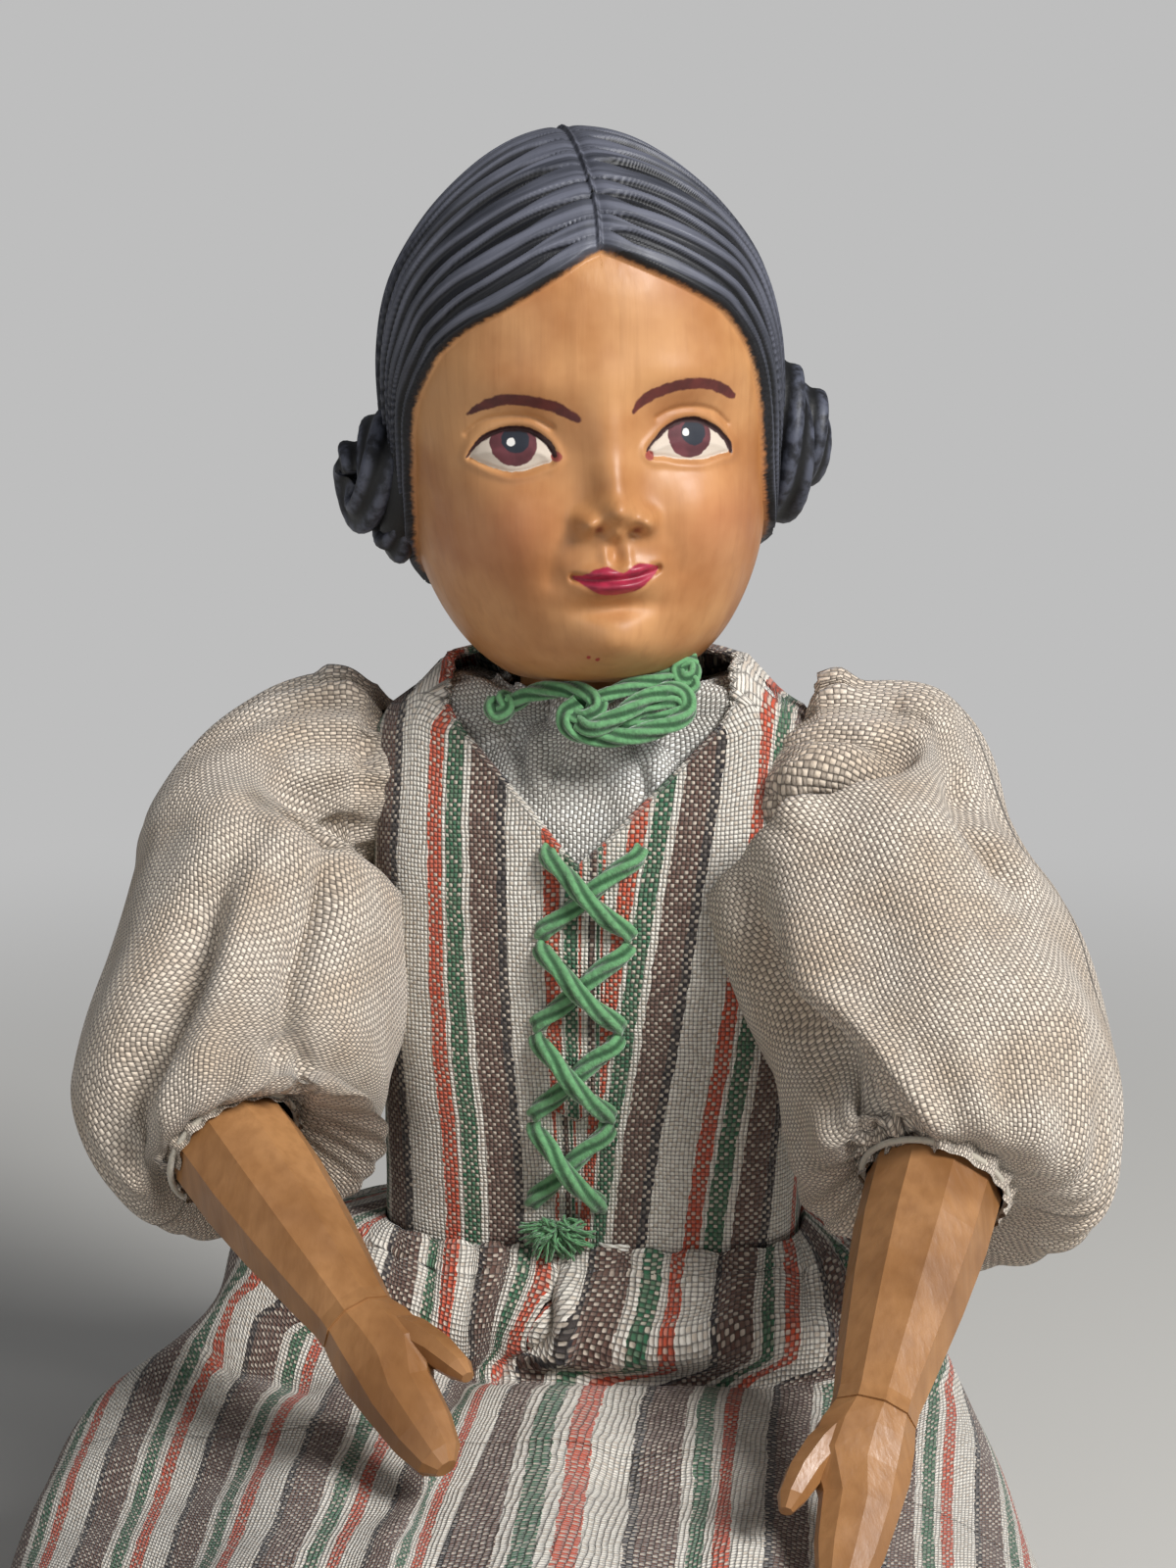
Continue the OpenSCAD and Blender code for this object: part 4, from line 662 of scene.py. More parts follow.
def build_head():
    n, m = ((560, 470))
    t = np.linspace(-1, 1, n, endpoint=False)
    a = 180 * (0.36 * t + 0.64 * t ** 3)
    k = np.linspace(0.004, 0.996, m)
    k = k + 0.035 * np.sin(2 * np.pi * (k - 0.02)) * 0.9
    A, T = np.meshgrid(a, k)
    p = head_surface(A, T)
    x, z = p[..., 0], p[..., 2]
    flat = np.stack([x, z], -1).reshape(-1, 2)
    face = (np.abs(A) < 80).reshape(-1) & (flat[:, 1] < 48)
    spot = flat[face]
    front = ease(1.15 - np.abs(A) / 75)
    bumps = sum(tall * bell((x - cx) / wide) * bell((z - cz) / high) for cx, cz, wide, high, tall in FACE)
    marks = {name: np.full(x.size, 9.0) for name, _, _ in PAINTS}
    fine = np.zeros(x.size)
    small = np.zeros(len(spot))
    for eye in EYE.values():
        ring = smooth_line(eye["ring"], 60, True)
        d = inside(spot, ring)
        marks["white"][face] = np.minimum(marks["white"][face], d)
        small += 0.85 * ease(-d / 2.2 + 0.1) * (d < 0.3) + 0.32 * bell((d - 0.55) / 0.5)
        small -= 0.3 * bell(d / 0.22)
        for key in ("iris", "pupil", "light", "corner"):
            cx, cz, r = eye[key]
            e = np.hypot(spot[:, 0] - cx, spot[:, 1] - cz) - r
            if key in ("iris", "pupil", "light"):
                e = np.maximum(e, d)
            marks[key][face] = np.minimum(marks[key][face], e)
        for key, wide in (("lid", 0.3), ("brow", 0.58)):
            d2, share = along(spot, smooth_line(eye[key]))
            body = wide * np.clip(0.35 + 3.2 * np.minimum(share, 1.1 - share), 0.3, 1)
            marks[key][face] = np.minimum(marks[key][face], d2 - body)
        d2, _ = along(spot, smooth_line(eye["crease"]))
        small -= 0.3 * bell(d2 / 0.3)
    lips = smooth_line(LIPS, 70, True)
    d = inside(spot, lips)
    marks["lips"][face] = d
    small -= 0.15 * bell(d / 0.3)
    # The lips' parting: a pressed groove, and along it a darker red that is painted shade in the crease
    d2, _ = along(spot, smooth_line(LIP_LINE))
    marks["lip_parting_shade"][face] = d2 - 0.1
    small -= 0.75 * bell(d2 / 0.42)
    for line in ([(-5.2, 19.2), (-6.6, 16.6), (-7.2, 13.6)], [(4.6, 19.0), (6.0, 16.4), (6.6, 13.8)]):
        d2, _ = along(spot, smooth_line(line))
        small -= (0.2 if line[0][0] < 0 else 0.1) * bell(d2 / 0.9)
    for key, r, wide, places in (
            ("nostril", 0.34, 1.2, [(-2.05, 18.9), (1.95, 18.6)]),
            ("specks", 0.22, 1, [(-3.5, 5.2), (-2.6, 4.9)])):
        reach = [np.hypot((spot[:, 0] - cx) / wide, spot[:, 1] - cz) for cx, cz in places]
        marks[key][face] = np.minimum(*reach) - r
    fine[face] = small
    marks["blush"] = sum(bell((x - cx) / 5) * bell((z - 19) / 5) for cx in (-12, 11.5))
    p[..., 1] -= front * bumps + fine.reshape(x.shape) * ease(1.5 - np.abs(A) / 60)
    # Hair stands on the head behind its edge, in combed locks
    edge = np.array(HAIR_EDGE)
    per_degree = 0.37
    spot = np.stack([A * per_degree, z], -1).reshape(-1, 2)
    reach, _ = along(spot, edge * [per_degree, 1])
    above = z.reshape(-1) > np.interp(A.reshape(-1), edge[:, 0], edge[:, 1])
    cover = np.where(above, reach, -reach)
    d = directions(head_surface(A, T)).reshape(-1, 3)
    strand, share = np.full(len(d), np.nan), np.zeros(len(d))
    for side in (-1, 1):
        here = (d[:, 0] * side >= -1e-6) & (cover > -1.5)
        strand[here], share[here] = comb(d[here], side)
    strand = np.where(np.isnan(strand), 0.0, strand)
    locks = strand * 12.5 + 0.1 * np.sin(share * 9 + strand * 40)
    f = np.abs(locks - np.floor(locks) - 0.5)
    groove = 0.5 - 0.285 * ease(share / 0.1 - 0.12) - 0.03 * np.sin(locks * 5 + share * 4)
    valley = ease((f - groove) / 0.09 + 0.5) * (share < 0.97)
    number = np.floor(locks).astype(int) % 97
    tall = rng.uniform(-0.12, 0.12, 97)[number]
    part = np.abs(p[..., 0].reshape(-1) + 0.1 + 0.3 * np.sin(z.reshape(-1) / 3))
    ridge = (1 - valley) * (1 - 0.42 * ease((share - 0.25) / 0.6))
    height = 1.3 + tall * ease(share / 0.1) - 0.7 * valley
    height = height - 0.4 * bell(part / 0.8) + 0.55 * bell(part / 0.22)
    height = (height + 0.7 * valley * ease(1 - cover / 1.1)) * ease((cover + 0.15) / 0.45)
    out = unit(np.stack([x / HEAD_W, p[..., 1] / HEAD_D, (z / HEAD_H - 0.5) / 1.2], -1))
    p = p + height.reshape(x.shape)[..., None] * out
    marks["hair"] = np.stack([strand, ridge - 0.3 * bell(part / 0.5), cover], -1)
    marks["lock"] = np.stack([locks * 2.2, share * 3.0 + number * 7.0, np.zeros_like(locks)], -1)
    p = head_place(p)
    p[..., 2] = np.maximum(p[..., 2], HEAD_Z)
    points = p.reshape(-1, 3)
    faces = grid_faces(m, n, True)
    faces.append(list(range(n))[::-1])
    faces.append(list(range((m - 1) * n, m * n)))
    wear(make("head_look", points, faces, face_material(), marks), "head", "head")


def hair_material():
    s = Shader("coiled hair")
    lobe = s.range(s.mark("lobe"), 0.88, 1.08)
    streak = s.noise(700, 3)
    colour = s.mix(lobe, rgb(5, 5, 7), s.mix(s.range(streak, 0.35, 0.65), rgb(30, 31, 38), rgb(80, 83, 96)))
    return s.done(colour, 0.55, s.bump(streak, 0.3, 0.3))


def build_bun(name, side, material):
    turns, count, steps = 1.8, 26, 10
    up, wide, low = (0.44 * HEAD_H, 7.8, 21.8) if side > 0 else (0.405 * HEAD_H, 7.0, 20.6)
    t = np.linspace(0, 1, count)
    r = wide - 5.3 * t
    a = side * (2 * math.pi * turns * t + 2.4)
    path = np.stack([side * mix(low, 25.4, ease(t)), 2.0 + 0.88 * r * np.sin(a), up + r * np.cos(a)], -1)
    path += 0.3 * np.stack([np.sin(9 * t + side), np.sin(13 * t), np.sin(11 * t + 2)], -1)
    thick = np.interp(np.linspace(0, 1, (count - 1) * steps + 1), [0, 0.05, 0.9, 1], [1.2, 2.95, 2.6, 1.9])
    coil = rope(path, thick, 5, 11, 40, steps, 0.14)
    # A low dome closes the middle of the coil
    u, v = np.linspace(0, math.pi, 24), np.linspace(0, 2 * math.pi, 36, endpoint=False)
    u, v = np.meshgrid(u, v, indexing="ij")
    core = np.stack([
        side * (20.4 + 4.0 * np.cos(u)), 2.0 + 7.2 * np.sin(u) * np.cos(v), up + 8.2 * np.sin(u) * np.sin(v),
    ], -1)
    points, faces, height = join([coil, (core, np.full(core.shape[:2], 0.8))])
    obj = make(name + "_look", head_place(points), faces, material, {"lobe": height})
    wear(obj, name, "head")


build_head()
hair = hair_material()
build_bun("hair_bun_left", 1, hair)
build_bun("hair_bun_right", -1, hair)

# Clothes on the torso

DRESS = np.array([
    [0.40, 0.965, 0.83, 0.62], [0.47, 0.965, 0.83, 0.62], [0.56, 0.97, 0.86, 0.6], [0.65, 0.99, 0.9, 0.56],
    [0.74, 1, 0.93, 0.54], [0.83, 1, 0.89, 0.52], [0.9, 1, 0.78, 0.5], [0.95, 1.01, 0.66, 0.5],
    [0.985, 1.005, 0.54, 0.5], [1, 0.94, 0.46, 0.55], [1.008, 0.62, 0.42, 0.8], [1.016, 0.44, 0.36, 1],
])


def dress_size(k, grow):
    """Half width, half depth and roundness of the dress at a share of the torso's height."""
    w, d, q = (np.interp(k, DRESS[:, 0], DRESS[:, column]) for column in (1, 2, 3))
    return w * CHEST_W / 2 + grow, d * HIP_D / 2 + grow, q


def dress_ring(k, a, grow):
    """Point on the dress at a share of the torso's height and an angle from the front."""
    w, d, q = dress_size(k, grow)
    s, c = np.sin(np.radians(a)), np.cos(np.radians(a))
    z = k * TORSO_H + grow * np.clip((k - 0.95) / 0.05, 0, 1)
    return np.stack([w * np.sign(s) * np.abs(s) ** q, -d * np.sign(c) * np.abs(c) ** q, z + 0 * s], -1)


def bow(wide, deep, q, t):
    """How far a rounded outline stands out, at a place across it."""
    return deep * np.maximum(1 - np.minimum(np.abs(t) / wide, 1) ** (1 / q), 0) ** q


def dress_y(x, z, grow):
    """Front of the dress at a place across and up."""
    w, d, q = dress_size(z / TORSO_H, grow)
    return -bow(w, d, q, x)


def dress_x(y, z, grow):
    """Side of the dress at a place from front to back and up."""
    w, d, q = dress_size(z / TORSO_H, grow)
    return bow(d, w, q, y)


def shell(name, grid, thick, wrap, material, marks, keep=None):
    """Cloth from the grid of its outside, closed at the edges unless it has a hole."""
    m, n = grid.shape[:2]
    low = grid - normals(grid, wrap) * thick
    faces = grid_faces(m, n, wrap, 0, False, keep) + grid_faces(m, n, wrap, m * n, True, keep)
    if keep is None:
        last = n if wrap else n - 1
        for i in range(last):
            k = (i + 1) % n
            faces.append((i, i + m * n, k + m * n, k))
            b = (m - 1) * n
            faces.append((b + i, b + k, b + k + m * n, b + i + m * n))
        if not wrap:
            for j in range(m - 1):
                a, b = j * n, (j + 1) * n
                faces.append((a, b, b + m * n, a + m * n))
                a, b = a + n - 1, b + n - 1
                faces.append((a, a + m * n, b + m * n, b))
    marks = {k: np.concatenate([v.reshape(m * n, -1), v.reshape(m * n, -1)]) for k, v in marks.items()}
    return make(name, np.vstack([grid.reshape(-1, 3), low.reshape(-1, 3)]), faces, material, marks)


def build_bodice():
    n, m = 300, 130
    a = np.linspace(-180, 180, n, endpoint=False)
    ks = np.linspace(0.5, 1.016, 500)
    top = np.zeros(n)
    # The neckline is a V in front, from its tip up to both shoulders
    tip, slope = 84.6, 1.03
    for i, angle in enumerate(a):
        p = dress_ring(ks, angle, DRESS_OUT)
        neckline = tip + np.abs(p[:, 0] - 0.3) * slope + 60 * ease((abs(angle) - 78) / 30)
        past = np.where(p[:, 2] > neckline)[0]
        top[i] = ks[past[0]] if len(past) else ks[-1]
    s = np.linspace(0, 1, m)[:, None]
    k = mix((WAIST_Z - 2.6) / TORSO_H, top, s)
    A = np.broadcast_to(a, k.shape)
    grid = dress_ring(k, A, DRESS_OUT)
    z = grid[..., 2]
    base = dress_ring(np.full(n, 0.76), a, DRESS_OUT)
    arc = travel(base)
    arc = np.broadcast_to(arc - np.interp(0, a, arc), k.shape)
    front = np.abs(a) <= 90
    over = np.interp(grid[..., 0], base[front, 0], arc[0][front])
    arc = mix(arc, over, ease((z - 86) / 6) * (np.abs(A) > 40))
    arc = np.where(np.abs(A) > 90, over, arc)
    # The front edge leans a little, and the stripes start anew on each side of it
    edge = 0.045 * (z - 77) + 0.9
    start = np.where(arc > edge, 3.7 - 0.11 * (77 - z), -16.7)
    stripe = (arc - start) / BODICE_REPEAT
    # Hem at the waist, a turned edge at the neck, the lap of the front edge and soft dents
    puff = 0.25 * bell((s * (z[-1] - z[0])[None, :] - 1.0) / 0.9) + 0.3 * bell((z[-1][None, :] - z) / 1.2)
    lap = 0.5 * ease((arc - edge) / -0.3 + 0.5) * ease((arc + 12) / 8)
    dents = 0.35 * rough(grid, 26, 3) + 0.14 * rough(grid, 9, 4)
    pull = 0.22 * np.sin((z - WAIST_Z) / 11 * 2 * math.pi) * np.exp(-(np.abs(arc) - 4.5) ** 2 / 12)
    grid = grid + (puff + lap + dents * 0.55 + pull + 0.1)[..., None] * normals(grid, True)
    grid[..., 2] += 0.25 * np.sin(np.radians(A) * 5) * (1 - s)
    # Collar that stands up round the neck, lower at the back
    tall = 4.8 - 2.2 * ease((np.abs(A) - 100) / 50)
    near = ease((np.abs(A) - 22) / 34) * ease((22 - np.abs(grid[..., 0])) / 6)
    grid[..., 2] += tall * ease((s - 0.78) / 0.22) * near
    hole = (np.hypot(grid[..., 1], z - ARMHOLE_Z) < ARMHOLE_R) & (np.abs(grid[..., 0]) > 12)
    weave = np.stack([arc, z, stripe], -1)
    obj = shell("bodice_look", grid, 0.8, True, bodice_cloth, {"weave": weave}, ~hole.reshape(-1))
    edge_strip("neck_hem", grid[-1], normals(grid, True)[-1], weave[-1], bodice_cloth)
    wear(obj, "bodice", "torso")


def edge_strip(name, line, out, weave, material):
    """Rolled edge along a closed line of cloth."""
    n = len(line)
    a = np.linspace(0, 2 * math.pi, 9)[:-1]
    on = unit(np.roll(line, -1, axis=0) - np.roll(line, 1, axis=0))
    up = np.cross(out, on)
    ring = line + 0.4 * spokes(a[:, None], out, 1.2 * up) - 0.35 * out
    marks = np.broadcast_to(weave, (len(a), n, 3)).copy()
    marks[..., 1] += (a * 0.6)[:, None]
    ring = np.concatenate([ring, ring[:1]])
    marks = np.concatenate([marks, marks[:1]])
    obj = make(name, ring, grid_faces(len(ring), n, True), material, {"weave": marks})
    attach(obj, "torso")


BLOUSE_FOLDS = [
    (1.0, -1.5, [(526, 740), (530, 775), (536, 812)]), (2.0, 1.1, [(548, 742), (554, 790), (562, 832)]),
    (0.9, -1.3, [(650, 750), (655, 790), (661, 836)]), (1.8, 0.9, [(670, 750), (678, 790)]),
    (1.4, -1.1, [(600, 758), (606, 800), (612, 846)]),
]


def build_blouse():
    n, m, grow = 420, 90, 1.25
    a = np.linspace(-180, 180, n, endpoint=False)
    s = np.linspace(0, 1, m)[:, None]
    A = np.broadcast_to(a, (m, n))
    around, away = np.radians(A), np.abs(A)
    body = dress_ring(np.broadcast_to(mix(0.72, 1.0, np.minimum(s / 0.72, 1)), (m, n)), A, grow)
    wing = ease((away - 30) / 40)
    neck_r = 9.6 + 1.1 * wing
    neck_z = 98 + (s - 0.6) / 0.4 * (5.6 + 0.7 * wing)
    neck = np.stack([neck_r * np.sin(around), -neck_r * np.cos(around), neck_z], -1)
    w = ease((s - 0.42 - 0.26 * ease((away - 20) / 25)) / 0.32)
    # In front the cloth slopes in from the chest to the neck
    grid = mix(body, neck, w[..., None])
    # At the sides it stands up inside the bodice's collar
    lift = 3.4 * ease((away - 25) / 30) * ease(w / 0.3) * ease((1 - w) / 0.4)
    grid[..., 2] += lift * (1 - 0.6 * ease((away - 100) / 50))
    out = unit(np.stack([np.sin(around), -np.cos(around), 0 * A + 0.25], -1))
    swing = around * 12 + 0.7 * np.sin(around * 3 + 0.6) + 0.4 * s
    pleat = 2 * np.abs(np.sin(swing / 2)) ** 0.7 - 1.2
    amount = 0.12 + 0.85 * ease((s - 0.2) / 0.5) - 0.3 * ease((s - 0.88) / 0.12)
    grid = grid + (amount * pleat + 0.15 * rough(grid, 7, 9))[..., None] * out
    grid[..., 2] += 0.35 * np.sin(around * 13) * ease((s - 0.85) / 0.15)
    grid = sculpt(grid, normals(grid, True), BLOUSE_FOLDS)
    arc = travel(dress_ring(np.full(n, 0.9), a, grow))
    arc = mix(arc - np.interp(0, a, arc), around * 12, w)
    weave = np.stack([arc, travel(grid), 0 * A], -1)
    obj = shell("blouse_look", grid, 0.4, True, blouse_cloth, {"weave": weave})
    wear(obj, "blouse", "torso")


# Folds of the sleeves: width and height in mm, and a line in the picture
SLEEVE_FOLDS = {
    -1: [
        (2.3, -3.8, [(262, 850), (219, 913), (195, 986), (166, 1048), (137, 1101), (127, 1141), (142, 1186),
                     (172, 1206)]),
        (1.8, -3.4, [(345, 850), (322, 921), (302, 986), (290, 1050), (284, 1100)]),
        (2.6, 1.3, [(290, 800), (262, 880), (232, 980), (206, 1068), (168, 1120)]),
        (3.0, 1.2, [(350, 880), (365, 960), (362, 1040), (345, 1110)]),
        (1.0, -1.5, [(306, 1062), (313, 1096), (304, 1130)]),
        (2.4, -1.5, [(231, 823), (268, 812), (325, 838), (362, 862)]),
        (1.3, -1.6, [(384, 728), (374, 762), (372, 800)]),
        (2.0, 1.9, [(322, 700), (348, 694), (366, 716)]),
    ],
    1: [
        (1.6, -3.2, [(764, 905), (774, 965), (795, 1024), (824, 1064), (849, 1112), (875, 1158),
                     (884, 1178)]),
        (2.4, -3.6, [(812, 1040), (850, 1066), (880, 1104), (908, 1142), (930, 1172), (944, 1196)]),
        (1.8, 1.5, [(796, 1000), (846, 1024), (890, 1070), (920, 1108), (948, 1148), (972, 1188)]),
        (1.9, -3.0, [(968, 776), (984, 806), (1003, 842), (1026, 880), (1048, 914)]),
        (2.8, 1.2, [(886, 738), (882, 766), (872, 792)]),
        (1.8, 2.2, [(836, 712), (852, 696), (866, 714)]),
        (3.4, 2.4, [(846, 742), (828, 780), (806, 822), (790, 850)]),
        (2.2, 1.7, [(796, 813), (830, 801), (862, 786), (886, 764)]),
        (2.6, 1.6, [(912, 732), (942, 734), (962, 758)]),
    ],
}
# Rows of the sleeve's grid, and of the armhole's and the frill's at its ends
SLEEVE_ROWS, EDGE_ROWS = 150, 9


def sleeve_grid(arm, n):
    side, full = arm["side"], arm["full"]
    hang = turn("x", -arm["tilt"]) @ turn("y", -ARM_SPREAD) @ turn("z", -arm["turn"])
    upper = hang @ [0, 0, -1.0]
    down = hang @ turn("x", -arm["bend"]) @ [0, 0, -1.0]
    elbow = SHOULDER + UPPER * upper
    cuff = elbow + CUFF_DROP * down
    seam = np.array([CHEST_W / 2 + DRESS_OUT, 0, ARMHOLE_Z])
    out = np.array([1.0, 0, 0])
    sag = np.array([0, 0, -full * arm["sag"]])
    lean = [full * k * out for k in arm["lean"]]
    centres = [
        seam + [full * 0.1, 0, 0], seam + [full * 0.35, 0, -full * 0.14],
        mix(SHOULDER, elbow, 0.3) + lean[0], mix(SHOULDER, elbow, 0.52) + lean[1],
        mix(SHOULDER, elbow, 0.76) + lean[2] + sag / 4, elbow + lean[3] + sag / 2,
        mix(elbow, cuff, 0.7) + lean[4] + sag, cuff,
    ]
    faces = [
        out, unit(out + [0, 0, -0.6]), upper, upper, upper, unit(upper + down / 2), unit(upper + 2 * down),
        down,
    ]
    t = np.linspace(0, 1, SLEEVE_ROWS)
    c = curve(np.array(centres), t)
    f = unit(curve(np.array(faces), t))
    r = curve([0.66, 0.88, 0.98, 1, 1, 0.98, 0.88, 0.47], t) * full
    r = mix(r, CUFF_R, t ** 12)
    way = unit(np.cross(f, [0, 1.0, 0]))
    fore = np.cross(f, way)
    b = np.linspace(0, 2 * math.pi, n, endpoint=False)
    T = t[:, None]
    # Gathers at the shoulder and the cuff die out in the puff, which falls in soft folds
    belly = np.sin(math.pi * T)
    wave = np.sin(19 * b + 1.5 * np.sin(3 * b) + 2 * T)
    wave2 = np.sin(17 * b + 1.7 * np.sin(2 * b + 1) + 3 * T)
    folds = (0.05 if side > 0 else 0.03) * ease((T - 0.6) / 0.4) * wave
    folds = folds + 0.04 * ease((0.38 - T) / 0.38) * wave2
    soft = 0.015 * np.sin(5 * b + 5 * T + 1) * belly + 0.012 * np.sin(9 * b - 7 * T) * belly ** 0.5
    grid = c[:, None] + (r[:, None] * (1 + folds + soft))[..., None] * spokes(b, way[:, None], fore[:, None])
    grid = grid + 0.55 * rough(grid, 17, 21 + side)[..., None] * unit(grid - c[:, None]) * belly[..., None]

    def bodice_side(p, gap):
        return dress_x(p[..., 1], np.minimum(p[..., 2], TORSO_H * 0.985), DRESS_OUT) + gap
    outside = np.maximum(grid[..., 0], bodice_side(grid, 0.9))
    grid[..., 0] = np.where(grid[..., 2] < TORSO_H + DRESS_OUT, outside, grid[..., 0])
    # Armhole: the ring on the bodice runs over into the puff
    way0 = unit(np.cross(out, [0, 1.0, 0]))
    ring = np.array([0, 0, ARMHOLE_Z]) + ARMHOLE_RING * spokes(b, way0, np.cross(out, way0))
    ring[:, 0] = bodice_side(ring, 0.35)
    rows = []
    for w in np.arange(EDGE_ROWS) / EDGE_ROWS:
        rows.append(mix(ring, grid[0], w) + 0.35 * np.sin(26 * b + 2)[:, None] * out * math.sin(math.pi * w))
    # Cuff: a gathered line and a short frill past it
    frill = []
    for w in np.arange(1, EDGE_ROWS + 1) / EDGE_ROWS:
        wavy = 1 + 0.05 * np.sin(19 * b + 1.5 * np.sin(3 * b) + 2) * (1 - 0.4 * w)
        rr = CUFF_R * (1 - 0.05 * w) * wavy
        frill.append(cuff + down * (FRILL * w) + rr[:, None] * spokes(b, way[-1], fore[-1]))
    grid = np.concatenate([np.array(rows), grid, np.array(frill)])
    across = np.arange(n) * 2 * math.pi * full * 0.95 / n
    fall = travel(grid).mean(1)[:, None]
    flat = grid.shape[:2]
    weave = np.stack([np.broadcast_to(across, flat), np.broadcast_to(fall, flat), np.zeros(flat)], -1)
    if side < 0:
        grid = (grid * [-1, 1, 1])[:, ::-1]
        weave = weave[:, ::-1]
    grid = sculpt(grid, normals(grid, True), SLEEVE_FOLDS[side])
    return grid, weave, elbow * [side, 1, 1], upper * [side, 1, 1], down * [side, 1, 1]


def build_sleeves():
    for name, arm in ARM.items():
        grid, weave, elbow, upper, down = sleeve_grid(arm, 220)
        # The sheet is split in two halfway along the sleeve, clear of the shoulder and the elbow
        half = EDGE_ROWS + SLEEVE_ROWS // 2
        s = arm["side"]
        above, below = elbow - upper * 5.2 + down * 0.8, elbow + upper * 0.8 + down * 6.8
        upper_arm, forearm = "upper_arm_" + name, "forearm_" + name
        for part, rows, a, b, start, end in (
                ("upper", slice(half + 1), "torso", upper_arm, (0.024 * s, 0, 0.092), (0.03 * s, 0, 0.0884)),
                ("lower", slice(half, None), upper_arm, forearm, tuple(above / 1000), tuple(below / 1000))):
            g = grid[rows]
            faces = grid_faces(len(g), g.shape[1], True)
            obj = make("sleeve_%s_%s" % (name, part), g, faces, cream_cloth, {"weave": weave[rows]})
            if part == "upper":
                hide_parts("sleeve_" + name)
            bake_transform(obj)


build_bodice()
build_blouse()
build_sleeves()

# Skirt

LEG_X, THIGH_W, SKIRT_SPREAD, SKIRT_LEN = 13.5, 20.0, 56.0, 108.0
LAP_Z = 12.5 + THIGH_W / 2 + 6
WAIST_X, WAIST_Y = CHEST_W / 2 * 0.96 + DRESS_OUT, HIP_D / 2 * 0.82 + DRESS_OUT


def skirt_net(side):
    """Rows of points from the waist to the hem, each from the front middle round the side to the back."""
    x, y, l, w = WAIST_X, WAIST_Y, LAP_Z, WAIST_Z
    far, seam, low, wide = SKIRT_LEN, 0.15, 0.3, SKIRT_SPREAD
    leg = LEG_X * 1.15
    fold = 0 if side > 0 else 1
    half, back = (w + l) / 2, mix(w, l, 0.7)
    return np.array([
        [[seam, -y, w], [x * 0.6, -y * 0.98, w], [x * 0.96, -y * 0.66, w],
         [x, y * 0.15, w], [x * 0.74, y * 0.88, w], [seam, y, w]],
        [[seam, -y * 1.3, half], [x * 0.7, -y * 1.32, half],
         [x * (1.3 + 0.12 * fold), -y * 0.92, mix(half, w, 0.8 * fold)],
         [x * (1.5 + 0.2 * fold), y * 0.05, mix(half, w, 0.4 * fold)], [x * 0.95, y * 1.24, back],
         [seam, y * 1.3, back]],
        [[seam, -y * 1.32, l * 1.02], [x * 0.72, -y * 1.4, l * 1.02],
         [x * 1.58, -y * 1.2, l * (0.95 + 0.18 * fold)], [x * 1.84, -y * 0.1, l * (0.72 + 0.26 * fold)],
         [x * 1.1, y * 1.42, l * 0.45], [seam, y * 1.5, l * 0.45]],
        [[seam, -y * 2.3, l], [leg, -y * 2.35, l * 1.02], [LEG_X * 2.7, -y * 2.05, l * (0.88 + 0.1 * fold)],
         [wide * (0.9 + 0.08 * fold), -y * 1.2, l * (0.34 + 0.4 * fold)], [x * 1.3, y * 1.1, low],
         [seam, y * 1.4, low]],
        [[seam, -far * 0.55, l * 0.98], [leg, -far * 0.56, l], [LEG_X * 2.6, -far * 0.52, l * 0.78],
         [wide, -far * 0.42, l * (0.09 + 0.3 * fold)], [LEG_X * 2, -far * 0.2, low],
         [seam, -far * 0.1, low]],
        [[seam, -far * 0.78, l * 0.9], [leg, -far * 0.79, l * 0.92], [LEG_X * 2.35, -far * 0.78, l * 0.62],
         [wide * 0.97, -far * 0.72, l * 0.06], [LEG_X * 1.9, -far * 0.62, low], [seam, -far * 0.56, low]],
        [[seam, -far, l * 0.8], [leg, -far, l * 0.82], [LEG_X * 2.1, -far, l * 0.52],
         [wide * 0.88, -far, l * 0.045], [LEG_X * 1.8, -far, low], [seam, -far, low]],
    ])


SKIRT_FOLDS = [
    (1.5, -2.4, [(430, 1400), (505, 1410), (600, 1411), (700, 1411), (800, 1409), (880, 1404)]),
    (1.9, 1.6, [(530, 1376), (590, 1378), (660, 1374), (740, 1366), (830, 1362)]),
    (0.7, -2.2, [(571, 1300), (564, 1323), (566, 1343), (559, 1366), (520, 1388), (507, 1408)]),
    (1.1, 1.3, [(583, 1306), (578, 1336), (577, 1366), (548, 1388), (524, 1402)]),
    (2.2, 1.4, [(470, 1424), (560, 1428), (680, 1428), (800, 1426)]),
    (2.6, -1.6, [(455, 1500), (430, 1540), (400, 1585)]),
    (3.0, -1.2, [(640, 1480), (625, 1530), (590, 1600)]),
    (2.6, -1.4, [(745, 1440), (740, 1500), (700, 1600)]),
    (2.2, -2.0, [(213, 1400), (240, 1392), (300, 1410), (352, 1440)]),
]


